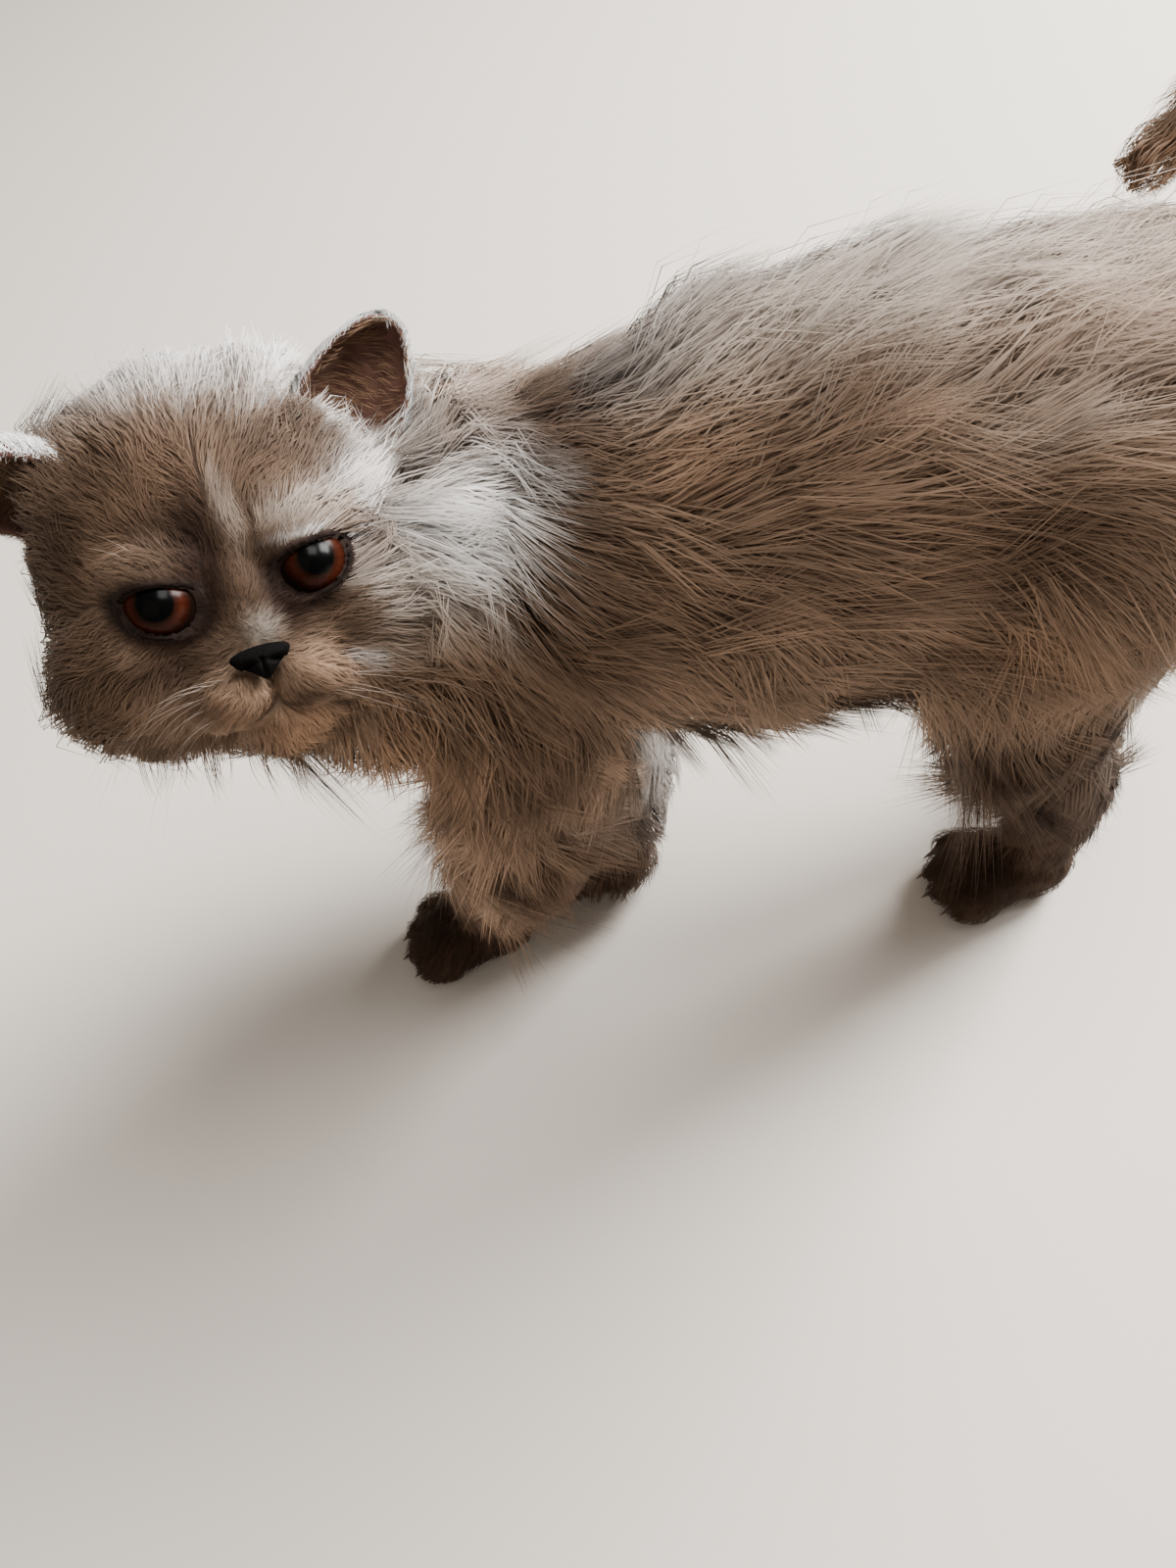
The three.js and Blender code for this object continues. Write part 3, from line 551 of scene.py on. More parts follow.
    # hair under the throat hangs lowest
    throat = np.clip((186 - z) / 25, 0, 1) * np.clip((-72 - points[:, 0]) / 16, 0, 1) * (z > 130)
    numbers["length"] = numbers["length"] * (1 - throat) + 24 * throat
    numbers["hang"] = numbers["hang"] * (1 - throat) + 0.5 * throat
    numbers["lift"] = numbers["lift"] * (1 - 0.6 * throat)
    # hair on the upper flank sweeps back and a little up
    x = points[:, 0]
    sweep = np.clip((z - 196) / 24, 0, 1) * np.clip((x + 30) / 24, 0, 1) * np.clip((130 - x) / 24, 0, 1)
    lie = unit(lie) + (np.array([0.3, 0.0, 0.95]) * sweep[:, None])
    # it lies short and flat behind the ruff
    collar = np.exp(-(((points - [-24, -20, 228]) / [15, 40, 26]) ** 2).sum(1))
    numbers["length"] = numbers["length"] * (1 - 0.4 * collar)
    numbers["lift"] = numbers["lift"] * (1 - 0.6 * collar)
    # the left cheek's ruff is shorter and stands up against the shoulder
    ruff = np.exp(-(((points - [-66, -36, 224]) / [18, 30, 28]) ** 2).sum(1))
    numbers["length"] = numbers["length"] * (1 - ruff) + 26 * ruff
    numbers["lift"] = numbers["lift"] * (1 - ruff) + 21 * ruff
    # the back stands a little
    back = np.clip((z - 205) / 25, 0, 1) * np.clip((points[:, 0] + 40) / 30, 0, 1) * (points[:, 1] < 70)
    numbers["lift"] = numbers["lift"] + 10 * back
    # the nape stands up behind the head
    nape = np.exp(-(((points - [-84, 2, 240]) / [34, 26, 20]) ** 2).sum(1))
    numbers["lift"] = numbers["lift"] + 9 * nape
    # and longer where the flank meets the thigh
    fold = np.exp(-(((points - [58, -46, 132]) / [26, 26, 22]) ** 2).sum(1))
    numbers["length"] = numbers["length"] + 12 * fold
    numbers["hang"] = np.maximum(numbers["hang"], 0.85 * fold)
    edge = np.clip((-22 - onHead[:, 0]) / 12, 0, 1) + np.clip((-24 - onHead[:, 1]) / 10, 0, 1)
    edge = np.clip(edge, 0, 1) * (onHead[:, 2] > -20) * (total > 0) * 0.5
    numbers["wild"] = np.maximum(np.maximum(bib, edge), np.maximum(throat, underneath))
    region = np.array(nears).argmin(0)
    onFace = region == len(names) - 1
    return {"lie": unit(lie), "base": tone, "region": region, "onFace": onFace, "names": names, **numbers}


def markings(base, points, onFace):
    onHead = toHead(points)
    front = np.clip((onHead[:, 2] + 4) / 14, 0, 1) * onFace
    tone = base
    for mark in bodyMarks + faceMarks:
        isFace = len(mark["at"]) == 2
        places = onHead[:, :2] if isFace else points
        far = (((places - mark["at"]) / mark["reach"]) ** 2).sum(1)
        w = (mark["strength"] * np.exp(-far ** 1.4) * (front if isFace else 1))[:, None]
        tone = tone * (1 - w) + np.array(colours[mark["colour"]]) * w
    for side in (-1, 1):
        w = (np.clip((1.5 - eyeOpening(onHead, side)) / 0.35, 0, 1) * front)[:, None]
        tone = tone * (1 - w) + np.array(colours["dark"]) * w
    return tone


def setTone(mesh, tone, name="tone"):
    data = mesh.attributes.new(name, "FLOAT_COLOR", "POINT")
    data.data.foreach_set("color", np.hstack([tone, np.ones((len(tone), 1))]).astype(np.float32).ravel())


skinPlaces = coordsOf(skin.data)
skinCoat = coatAt(skinPlaces)
setTone(skin.data, markings(skinCoat["base"], skinPlaces, skinCoat["onFace"]) * 0.75)
print("markings laid on the skin")

# Each coat piece: where its roots are taken, how many stand on a square centimetre and how wide a tuft is
coatPieces = {
    "coatFaceLeft": {"density": 300, "wide": 0.36, "pull": 0.3, "every": 10},
    "coatFaceRight": {"density": 300, "wide": 0.36, "pull": 0.3, "every": 10},
    "coatCrown": {"density": 150, "wide": 0.46, "pull": 0.4},
    "coatRuffLeft": {"density": 100, "wide": 0.5, "pull": 0.36},
    "coatRuffRight": {"density": 80, "wide": 0.55, "pull": 0.45},
    "coatBack": {"density": 92, "wide": 0.52, "pull": 0.34},
    "coatFlankLeft": {"density": 106, "wide": 0.6, "pull": 0.28},
    "coatFlankRight": {"density": 56, "wide": 0.7, "pull": 0.45},
    "coatFringe": {"density": 66, "wide": 0.55, "pull": 0.6, "every": 26},
    "coatTail": {"density": 58, "wide": 0.6, "pull": 0.5},
    "coatForeLegLeft": {"density": 62, "wide": 0.54, "pull": 0.55},
    "coatForeLegRight": {"density": 44, "wide": 0.62, "pull": 0.55},
    "coatHindLegLeft": {"density": 54, "wide": 0.56, "pull": 0.55},
    "coatHindLegRight": {"density": 40, "wide": 0.64, "pull": 0.55},
    "coatPaws": {"density": 56, "wide": 0.6, "pull": 0.3},
}


def pieceOf(points, coat):
    onHead = toHead(points)
    region = np.array(coat["names"], dtype=object)[coat["region"]]
    names = np.empty(len(points), dtype=object)
    for i, name in enumerate(region):
        side = "Left" if (onHead[i, 0] > 0 if name == "head" else points[i, 1] < 0) else "Right"
        if name == "head":
            names[i] = "coatFace" + side if onHead[i, 2] > 2 else "coatCrown"
        elif name == "neck":
            names[i] = "coatRuff" + side
        elif name == "tail":
            names[i] = "coatTail"
        elif name in paws:
            names[i] = "coatPaws"
        elif name == "trunk":
            isBack = abs(points[i, 1]) < 26 and points[i, 2] > 190
            names[i] = "coatBack" if isBack else "coatFringe" if points[i, 2] < 147 else "coatFlank" + side
        else:
            names[i] = ("coatForeLeg" if name.startswith("fore") else "coatHindLeg") + side
    return names


def triangleData(mesh):
    mesh.calc_loop_triangles()
    count = len(mesh.loop_triangles)
    loops = np.zeros(count * 3, np.int32)
    corners = np.zeros(count * 3, np.int32)
    mesh.loop_triangles.foreach_get("loops", loops)
    mesh.loop_triangles.foreach_get("vertices", corners)
    uv = np.zeros(len(mesh.loops) * 2, np.float32)
    mesh.uv_layers["OFBake"].data.foreach_get("uv", uv)
    return corners.reshape(-1, 3), uv.reshape(-1, 2)[loops.reshape(-1, 3)]


def scatter(places, corners, uv, density):
    a, b, c = places[corners[:, 0]], places[corners[:, 1]], places[corners[:, 2]]
    cross = np.cross(b - a, c - a)
    area = np.linalg.norm(cross, axis=1) / 200  # square centimetres
    number = np.floor(area * density + chance.random(len(area))).astype(int)
    face = np.repeat(np.arange(len(area)), number)
    r = np.sqrt(chance.random(len(face)))[:, None]
    s = chance.random(len(face))[:, None]
    weights = (1 - r, r * (1 - s), r * s)
    root = sum(w * p[face] for w, p in zip(weights, (a, b, c)))
    rootUv = sum(w * uv[face, k] for k, w in enumerate(weights))
    return root, rootUv, unit(cross)[face]


# A tuft: a closed, three-sided spindle along its middle line, from root to tip
tuftShape = {"sides": 3, "thick": 0.4, "sunk": 1.2}


def tuftTemplate(rings):
    bm = bmesh.new()
    bmesh.ops.create_cone(bm, cap_ends=True, cap_tris=False, segments=tuftShape["sides"], radius1=1, radius2=0, depth=1)
    bmesh.ops.translate(bm, verts=bm.verts, vec=(0, 0, 0.5))
    bmesh.ops.remove_doubles(bm, verts=bm.verts, dist=1e-5)
    for share in rings:
        bmesh.ops.bisect_plane(bm, geom=bm.verts[:] + bm.edges[:] + bm.faces[:], plane_co=(0, 0, share), plane_no=(0, 0, 1))
    bmesh.ops.triangulate(bm, faces=bm.faces)
    bm.verts.ensure_lookup_table()
    places = np.array([v.co for v in bm.verts])
    faces = np.array([[v.index for v in face.verts] for face in bm.faces])
    bm.free()
    ring = np.abs(places[:, 2:] - np.array((0.0,) + rings + (1.0,))).argmin(1)
    side = places[:, :2] / np.maximum(1 - places[:, 2:], 1e-6)
    side[ring == len(rings) + 1] = 0
    return ring, side, faces


def walkTufts(root, normal, coat, tree, rings):
    count = len(root)
    shares = (0.0,) + rings + (1.0,)
    turn = coat["turn"][:, None]
    lie = unit(coat["lie"] - normal * (coat["lie"] * normal).sum(1)[:, None])
    lie = unit(lie * np.cos(turn) + np.cross(normal, lie) * np.sin(turn))
    free = unit(lie * 0.7 + normal * 0.25 + np.array([0, 0, -0.9]))
    path = np.zeros((count, len(shares), 3))
    normals = np.zeros((count, len(shares), 3))
    path[:, 0] = root - normal * tuftShape["sunk"]
    normals[:, 0] = normal
    place = root.copy()
    for j in range(1, len(shares)):
        ahead = place + lie * (coat["length"] * (shares[j] - shares[j - 1]))[:, None]
        found = [tree.find_nearest(p) for p in ahead.tolist()]
        place = np.array([hit[0] for hit in found])
        out = np.array([hit[1] for hit in found])
        lie = unit(lie - out * (lie * out).sum(1)[:, None])
        height = coat["lift"] * math.sin(shares[j] * 0.5 * math.pi) ** 0.8
        hung = root + normal * (height * 0.8)[:, None] + free * (coat["length"] * shares[j])[:, None]
        w = coat["hang"][:, None]
        bow = np.cross(out, lie) * (coat["curl"] * coat["length"] * shares[j] ** 2)[:, None]
        path[:, j] = (place + out * height[:, None]) * (1 - w) + hung * w + bow
        normals[:, j] = out
    return path, normals


def clumpsOf(root, every):
    leaders = chance.permutation(len(root))[: max(1, len(root) // every)]
    tree = KDTree(len(leaders))
    for i, leader in enumerate(leaders):
        tree.insert(root[leader], i)
    tree.balance()
    return np.array([leaders[tree.find(p)[1]] for p in root.tolist()])


def clumpPaths(path, mine, pull, rings):
    for j, share in enumerate(rings + (1.0,), 1):
        path[:, j] += (path[mine, j] - path[:, j]) * pull * share ** 0.8


def tuftPiece(name, rings, root, rootUv, path, normals, wide, tone, tipTone):
    ring, side, faces = tuftTemplate(rings)
    count = len(root)
    last = len(rings) + 1
    tangent = unit(path[:, [min(j + 1, last) for j in range(last + 1)]] - path[:, [max(j - 1, 0) for j in range(last + 1)]])
    across = unit(np.cross(tangent, normals))
    over = np.cross(tangent, across)
    shares = np.array((0.0,) + rings + (1.0,))
    widths = np.interp(shares, [0, 0.36, 0.72, 1], [0.6, 1.0, 0.7, 0])
    half = (wide[:, None] * widths[ring][None] / 2)[..., None]
    places = path[:, ring] + across[:, ring] * side[:, 0][None, :, None] * half
    places += over[:, ring] * side[:, 1][None, :, None] * half * tuftShape["thick"]
    places[..., 2] = np.maximum(places[..., 2], 0.4)
    size = len(ring)
    allFaces = (faces[None] + (np.arange(count) * size)[:, None, None]).reshape(-1, 3)
    mesh = bpy.data.meshes.new(name)
    mesh.vertices.add(count * size)
    mesh.loops.add(len(allFaces) * 3)
    mesh.polygons.add(len(allFaces))
    mesh.vertices.foreach_set("co", toFrame(places.reshape(-1, 3)).astype(np.float32).ravel())
    mesh.loops.foreach_set("vertex_index", allFaces.ravel().astype(np.int32))
    mesh.polygons.foreach_set("loop_start", np.arange(0, len(allFaces) * 3, 3, dtype=np.int32))
    mesh.polygons.foreach_set("use_smooth", np.ones(len(allFaces), bool))
    mesh.update(calc_edges=True)
    facet = across[:, ring] * side[:, 0][None, :, None] + over[:, ring] * side[:, 1][None, :, None]
    shading = unit(normals[:, ring] + 0.28 * facet).reshape(-1, 3)
    mesh.normals_split_custom_set_from_vertices(shading.tolist())
    share = shares[ring]
    full = tone[:, None] * (0.9 + 0.1 * np.minimum(1, share * 2))[None, :, None]
    full = full * (1 - share[None, :, None] ** 2) + tipTone[:, None] * share[None, :, None] ** 2
    setTone(mesh, full.reshape(-1, 3))
    patch = np.stack([share - 0.5, side[:, 0] * 0.4], 1) * 0.003
    uv = (rootUv[:, None] + patch[None]).reshape(-1, 2)[allFaces.ravel()]
    layer = mesh.uv_layers.new(name="OFBake")
    layer.data.foreach_set("uv", np.clip(uv, 0.0005, 0.9995).astype(np.float32).ravel())
    piece = bpy.data.objects.new(name, mesh)
    bpy.context.scene.collection.objects.link(piece)
    return piece


def drift(points, size):
    return np.array([noise.noise_vector(Vector(p)) for p in (points / size).tolist()])


def growPiece(name, rule, root, rootUv, normal, own, tree):
    count = len(root)
    rings = rule.get("rings", (0.45,))
    wave = drift(root, 20)
    own["turn"] = 0.5 * wave[:, 0] + 0.12 * chance.standard_normal(count)
    small = clumpsOf(root, rule.get("every", 12))
    lock = clumpsOf(root, 90)
    own["length"] = own["length"] * chance.uniform(0.75, 1.12, count) * (1 + 0.3 * wave[:, 1])
    own["length"] = own["length"] * chance.uniform(0.85, 1.2, count)[lock]
    stray = np.where(chance.random(count) < 0.03, 1.5, 1.0)
    own["lift"] = own["lift"] * chance.uniform(0.4, 1.2, count) * stray * (1 + 0.5 * wave[:, 2])
    own["curl"] = 0.22 * chance.standard_normal(count)[lock] + 0.12 * chance.standard_normal(count)[small]
    if "wild" in own:
        own["curl"] = own["curl"] * (1 + 1.6 * own["wild"])
        own["turn"] = own["turn"] * (1 + 0.6 * own["wild"])
    path, normals = walkTufts(root, normal, own, tree, rings)
    clumpPaths(path, lock, 0.4 * rule["pull"], rings)
    clumpPaths(path, small, rule["pull"], rings)
    if not name.startswith("earFur"):
        cleared = fromHead(clearOfEar(toHead(path)))
        behind = upEar(toHead(root)) > -0.4
        path = np.where(behind[:, None, None], cleared, path)
        own["tone"] = markings(own["base"], path[:, 0] * 0.4 + path[:, -1] * 0.6, own["onFace"])
    shade = 1 + 0.05 * chance.standard_normal(count)[small] + 0.03 * chance.standard_normal(count)
    shade = shade + 0.45 * drift(path[:, -1], 14)[:, 0]
    tone = own["tone"] * np.clip(shade, 0.5, 1.5)[:, None]
    # tips lighter than the roots: partly the coat's silver tipping, partly painted glow of back-lit hair tips
    tipTone = np.minimum(tone * 1.22 + 0.003, 0.9)
    wide = rule["wide"] * chance.uniform(0.7, 1.25, count) * np.clip(own["length"] / 14, 0.6, 1)
    print(name, count, "tufts,", count * len(tuftTemplate(rings)[2]), "triangles")
    return tuftPiece(name, rings, root, rootUv, path, normals, wide, tone, tipTone)


def growCoat(skin):
    corners, uv = triangleData(skin.data)
    places = coordsOf(skin.data)
    middles = places[corners].mean(1)
    names = pieceOf(middles, coatAt(middles))
    tree = BVHTree.FromPolygons(places.tolist(), corners.tolist())
    onFace = toHead(middles)
    bare = (mouthDistance(onFace) < 1.2) & (onFace[:, 2] > 8)
    for side in (-1, 1):
        bare |= (eyeOpening(onFace, side) < 1.08) & (onFace[:, 2] > 10)
    pieces = []
    for name, rule in coatPieces.items():
        density = np.where((names == name) & ~bare, float(rule["density"]), 0.0)
        root, rootUv, normal = scatter(places, corners, uv, density)
        pieces.append(growPiece(name, rule, root, rootUv, normal, coatAt(root), tree))
    return pieces


coat = growCoat(skin)
setCoords(skin.data, toFrame(coordsOf(skin.data)))
print("coat grown")


# Eyes, set in the sockets of the solids
eyeShape = {"cornea": 0.9, "corneaWide": 0.62, "gaze": (1.2, 1.3)}


def makeEye(side):
    name = "eyeLeft" if side > 0 else "eyeRight"
    eye = head["eye"]
    bm = bmesh.new()
    bmesh.ops.create_uvsphere(bm, u_segments=64, v_segments=48, radius=1)
    piece = meshOf(bm, name)
    ball = coordsOf(piece.data)
    off = np.hypot(ball[:, 0], ball[:, 1])
    bulge = eyeShape["cornea"] * np.clip(1 - (off / eyeShape["corneaWide"]) ** 2, 0, 1) * (ball[:, 2] > 0)
    places = ball * (eye["radius"] - 0.15)
    places[:, 2] += bulge
    gaze = np.where(ball[:, 2:] > 0, ball[:, :2], unit(ball[:, :2])) * eye["radius"]
    gaze = np.hstack([gaze - [side * eyeShape["gaze"][0], eyeShape["gaze"][1]], np.zeros((len(gaze), 1))])
    data = piece.data.attributes.new("gaze", "FLOAT_VECTOR", "POINT")
    data.data.foreach_set("vector", gaze.astype(np.float32).ravel())
    middle = [side * eye["l"], eye["u"], eye["f"] - eye["deeper"]]
    setCoords(piece.data, toFrame(fromHead(places + middle)))
    for face in piece.data.polygons:
        face.use_smooth = True
    return piece


eyes = [makeEye(side) for side in (-1, 1)]
print("eyes made")


# Dark wet rims that the lids end in
def makeLidRim(side):
    eye = head["eye"]
    turns = np.linspace(0, 2 * math.pi, 49)[:-1]
    power = np.where(np.sin(turns) > 0, 1 / 1.4, 1 / 1.1)
    high = np.where(np.sin(turns) > 0, eye["top"], eye["low"])
    l = np.sign(np.cos(turns)) * np.abs(np.cos(turns)) ** power * eye["wide"]
    u = np.sign(np.sin(turns)) * np.abs(np.sin(turns)) ** power * high
    u = u + eye["slant"] * l
    f = np.sqrt(np.maximum((eye["radius"] + 0.9) ** 2 - l ** 2 - u ** 2, 1))
    places = fromHead(np.stack([side * (l + eye["l"]), u + eye["u"], f + eye["f"] - eye["deeper"]], 1))
    bm = bmesh.new()
    rings = []
    for i in range(len(places)):
        ahead = Vector(places[(i + 1) % len(places)] - places[i - 1])
        turn = ahead.to_track_quat("Z", "Y").to_matrix().to_4x4()
        new = bmesh.ops.create_circle(bm, segments=8, radius=0.55, matrix=Matrix.Translation(Vector(places[i])) @ turn)
        rings.append(new["verts"])
    for a, b in zip(rings, rings[1:] + rings[:1]):
        edges = {e for ring in (a, b) for v in ring for e in v.link_edges if e.other_vert(v) in ring}
        bmesh.ops.bridge_loops(bm, edges=list(edges))
    bmesh.ops.recalc_face_normals(bm, faces=bm.faces)
    for face in bm.faces:
        face.smooth = True
    piece = meshOf(bm, "lidRimLeft" if side > 0 else "lidRimRight")
    setCoords(piece.data, toFrame(coordsOf(piece.data)))
    return piece


lidRims = [makeLidRim(side) for side in (-1, 1)]


# Nose leather
noseShape = {"l": -0.6, "u": -19.4, "f": 31.3, "wide": 7.7, "high": 4.3, "deep": 3.2}


def makeNose():
    n = noseShape
    bm = bmesh.new()
    bmesh.ops.create_uvsphere(bm, u_segments=48, v_segments=36, radius=1)
    piece = meshOf(bm, "noseLeather")
    ball = coordsOf(piece.data)
    narrow = np.interp(ball[:, 1], [-1, -0.3, 0.4, 1], [0.2, 0.5, 1.0, 1.7])
    x = ball[:, 0] * narrow
    y = ball[:, 1] - 0.14 * (np.abs(ball[:, 0]) ** 2) * (ball[:, 1] > 0)
    z = ball[:, 2]
    front = ball[:, 2] > 0
    for side in (-1, 1):
        far = np.hypot((x - side * 0.5) / 0.26, (y - 0.02 + 0.25 * (side * x - 0.5)) / 0.17)
        z = z - 0.75 * np.exp(-far ** 2) * front
    z = z - 0.28 * np.exp(-(x / 0.07) ** 2) * front * (y < 0.35)
    places = np.stack([x * n["wide"], y * n["high"], z * n["deep"]], 1) + [n["l"], n["u"], n["f"]]
    setCoords(piece.data, toFrame(fromHead(places)))
    for face in piece.data.polygons:
        face.use_smooth = True
    return piece


nose = makeNose()
print("nose made")


# The ears themselves, and the fur on their backs, along their rims and inside
def earAxes(side):
    e = earShapes[side]
    lean, turn = math.radians(e["lean"]), math.radians(e["turn"])
    tip = np.array([side * math.sin(lean), math.cos(lean), 0])
    outward = np.array([side * math.cos(lean), -math.sin(lean), 0])
    front = np.array([0, 0, 1.0])
    across = (outward * math.cos(turn) - front * math.sin(turn)) * side
    return np.array([across, tip, outward * math.sin(turn) + front * math.cos(turn)])


def makeEar(side):
    e = earShapes[side]
    bm = bmesh.new()
    bmesh.ops.create_uvsphere(bm, u_segments=32, v_segments=24, radius=1)
    bmesh.ops.scale(bm, vec=(e["wide"], e["length"], e["deep"]), verts=bm.verts)
    front = [face for face in bm.faces if face.calc_center_median().z > e["deep"] * 0.3]
    bmesh.ops.delete(bm, geom=front, context="FACES")
    bmesh.ops.solidify(bm, geom=bm.faces[:], thickness=e["wall"])
    bmesh.ops.recalc_face_normals(bm, faces=bm.faces)
    piece = meshOf(bm, "earLeft" if side > 0 else "earRight")
    smooth = piece.modifiers.new("round", "SUBSURF")
    smooth.levels = 1
    smooth.render_levels = 1
    applyModifiers(piece)
    places = coordsOf(piece.data)
    places[:, 0] *= np.interp(places[:, 1] / e["length"], [-1, 0, 1], [1.1, 1.0, 0.85])
    setCoords(piece.data, fromHead(places @ earAxes(side) + [side * e["l"], e["u"], e["f"]]))
    for face in piece.data.polygons:
        face.use_smooth = True
    return piece


earCoat = {
    "back": {"density": 220, "wide": 0.5, "pull": 0.3},
    "rim": {"density": 330, "wide": 0.36, "pull": 0.3},
    "inside": {"density": 90, "wide": 0.3, "pull": 0.4, "every": 8},
}


def growEar(piece, side):
    unwrap(piece, 0.01)
    e = earShapes[side]
    corners, uv = triangleData(piece.data)
    places = coordsOf(piece.data)
    tree = BVHTree.FromPolygons(places.tolist(), corners.tolist())
    across, tip, opening = earAxes(side)
    origin = np.array([side * e["l"], e["u"], e["f"]])
    a, b, c = places[corners[:, 0]], places[corners[:, 1]], places[corners[:, 2]]
    facing = unit(np.cross(b - a, c - a))
    middles = (a + b + c) / 3
    inside = ((fromHead(origin + opening * e["deep"] * 0.3) - middles) * facing).sum(1) > 0
    nearRim = (toHead(middles) - origin) @ opening > 0.16 * e["deep"]
    pieces = []
    for kind, chosen in (("back", ~inside), ("rim", nearRim), ("inside", inside)):
        rule = earCoat[kind]
        root, rootUv, normal = scatter(places, corners, uv, np.where(chosen, float(rule["density"]), 0.0))
        count = len(root)
        away = unit((toHead(root) - origin) - ((toHead(root) - origin) @ opening)[:, None] * opening)
        if kind == "back":
            lie, length, lift, hang, shade = away * 0.5 + tip, 8.0, 2.0, 0.0, "white"
        elif kind == "rim":
            lie, length, lift, hang, shade = away + tip * 0.4 + opening * 0.3, 4.5, 1.6, 0.0, "white"
        else:
            lie, length, lift, hang, shade = tip * 0.5 + across * side + opening * 0.3, 8.0, 2.2, 0.1, "brown"
        own = {"lie": lie * np.ones((count, 1)) @ headAxes, "tone": np.tile(np.array(colours[shade]), (count, 1))}
        for key, value in (("length", length), ("lift", lift), ("hang", hang)):
            own[key] = np.full(count, value)
        if kind == "inside":
            own["tone"] = own["tone"] * chance.uniform(0.7, 3.4, count)[:, None]
        label = "earFur" + kind.capitalize() + ("Left" if side > 0 else "Right")
        pieces.append(growPiece(label, rule, root, rootUv, normal, own, tree))
    setCoords(piece.data, toFrame(places))
    return pieces


ears = [makeEar(side) for side in (-1, 1)]
earFur = growEar(ears[0], -1) + growEar(ears[1], 1)
print("ears made")


# Whiskers, brow hairs and claws
whiskerShape = {"rows": 4, "each": 5, "length": (26, 50), "root": 0.085, "sides": 3, "steps": 9, "front": -84}
clawShape = {"length": 6.5, "root": 1.25, "steps": 6}


def bentHair(start, way, length, sag, radius, steps):
    shares = np.linspace(0, 1, steps)[:, None]
    path = np.asarray(start) + np.asarray(way) * length * shares
    path = path + np.array([0, 0, -1.0]) * sag * shares ** 2
    return path, radius * (1 - 0.93 * shares[:, 0])


def sweepInto(bm, path, radii, sides):
    rings = []
    for i, place in enumerate(path):
        ahead = Vector(path[min(i + 1, len(path) - 1)] - path[max(i - 1, 0)])
        turn = ahead.to_track_quat("Z", "Y").to_matrix().to_4x4()
        matrix = Matrix.Translation(Vector(place)) @ turn
        rings.append(bmesh.ops.create_circle(bm, segments=sides, radius=radii[i], matrix=matrix)["verts"])
    for a, b in zip(rings, rings[1:]):
        ends = {e for ring in (a, b) for v in ring for e in v.link_edges if e.other_vert(v) in ring}
        bmesh.ops.bridge_loops(bm, edges=list(ends))
    for ring in (rings[0], rings[-1]):
        bmesh.ops.contextual_create(bm, geom=ring)


def finishSweeps(bm, name):
    bmesh.ops.recalc_face_normals(bm, faces=bm.faces)
    for face in bm.faces:
        face.smooth = True
    piece = meshOf(bm, name)
    setCoords(piece.data, toFrame(coordsOf(piece.data)))
    return piece


def makeWhiskers():
    w = whiskerShape
    bm = bmesh.new()
    for side in (-1, 1):
        for row in range(w["rows"]):
            for k in range(w["each"] - row // 2):
                start = [side * (9 + 2.4 * k), -21.5 - 2.7 * row, 29.0 - 0.25 * (k + 1) ** 1.6]
                out = 0.3 - 0.06 * k if side < 0 else -0.3
                way = unit(np.array([side * (0.9 + 0.1 * k), 0.15 - 0.2 * row, out]))
                way = unit(way + 0.12 * chance.standard_normal(3))
                length = chance.uniform(*w["length"])
                ahead = way @ headAxes
                ahead[1] = max(ahead[1], (w["front"] - fromHead(start)[1]) / length)
                sag = 0.7 * length if side < 0 else 0.2 * length
                path, radii = bentHair(fromHead(start), ahead, length, sag, w["root"], w["steps"])
                sweepInto(bm, path, radii, w["sides"])
        for k in range(4):
            start = [side * (13 + 3.2 * k), 11.5 + 0.5 * k, 25.5 - 0.6 * k]
            way = unit(np.array([side * (0.25 + 0.2 * k), 0.9, 0.5]) + 0.1 * chance.standard_normal(3))
            path, radii = bentHair(fromHead(start), way @ headAxes, chance.uniform(10, 15), 3, 0.07, w["steps"])
            sweepInto(bm, path, radii, w["sides"])
    return finishSweeps(bm, "whiskers")


# Loose hairs: white ones bowing out behind the left ear, dark ones across it, curls under the jaw
wispShape = {"ear": 0.13, "jaw": 0.24, "steps": 10, "sides": 3}


def makeWisps(name, radius, wisps):
    bm = bmesh.new()
    shares = np.linspace(0, 1, wispShape["steps"])[:, None]
    for start, way, length, bend in wisps:
        path = np.array(start) + unit(np.array(way)) * length * shares + np.array(bend) * shares ** 2
        sweepInto(bm, fromHead(path), radius * (1 - 0.9 * shares[:, 0]), wispShape["sides"])
    return finishSweeps(bm, name)


def earWisps(dark):
    across, tip, opening = earAxes(1)
    e = earShapes[1]
    wisps = []
    for k in range(6 if dark else 34):
        far = chance.uniform(-0.5, -0.1) if dark else chance.uniform(-0.4, 0.85)
        start = np.array([e["l"], e["u"], e["f"]]) + tip * e["length"] * far
        start = start + across * e["wide"] * 0.9 * math.sqrt(1 - far * far) - opening * (0 if dark else 3)
        way = across + tip * chance.uniform(-0.1, 0.9) + opening * chance.uniform(-0.5, 0.2)
        down = np.array([4.0, -chance.uniform(2, 12), -3.0])
        wisps.append((start, way, chance.uniform(14, 26), down))
    return wisps


def jawWisps():
    wisps = []
    for k in range(18):
        l = -44 + 66 * chance.random()
        u = np.interp(l, [-44, -30, -12, 0, 22], [-18, -28, -33, -38, -37])
        turn = chance.uniform(-0.7, 0.7)
        for hair in range(7):
            start = np.array([l, u, chance.uniform(2, 10)]) + 1.6 * chance.standard_normal(3)
            wisps.append((start, (turn - 0.1, -1, 0.1), chance.uniform(17, 24), (-18 * turn, 1, 0)))
    return wisps


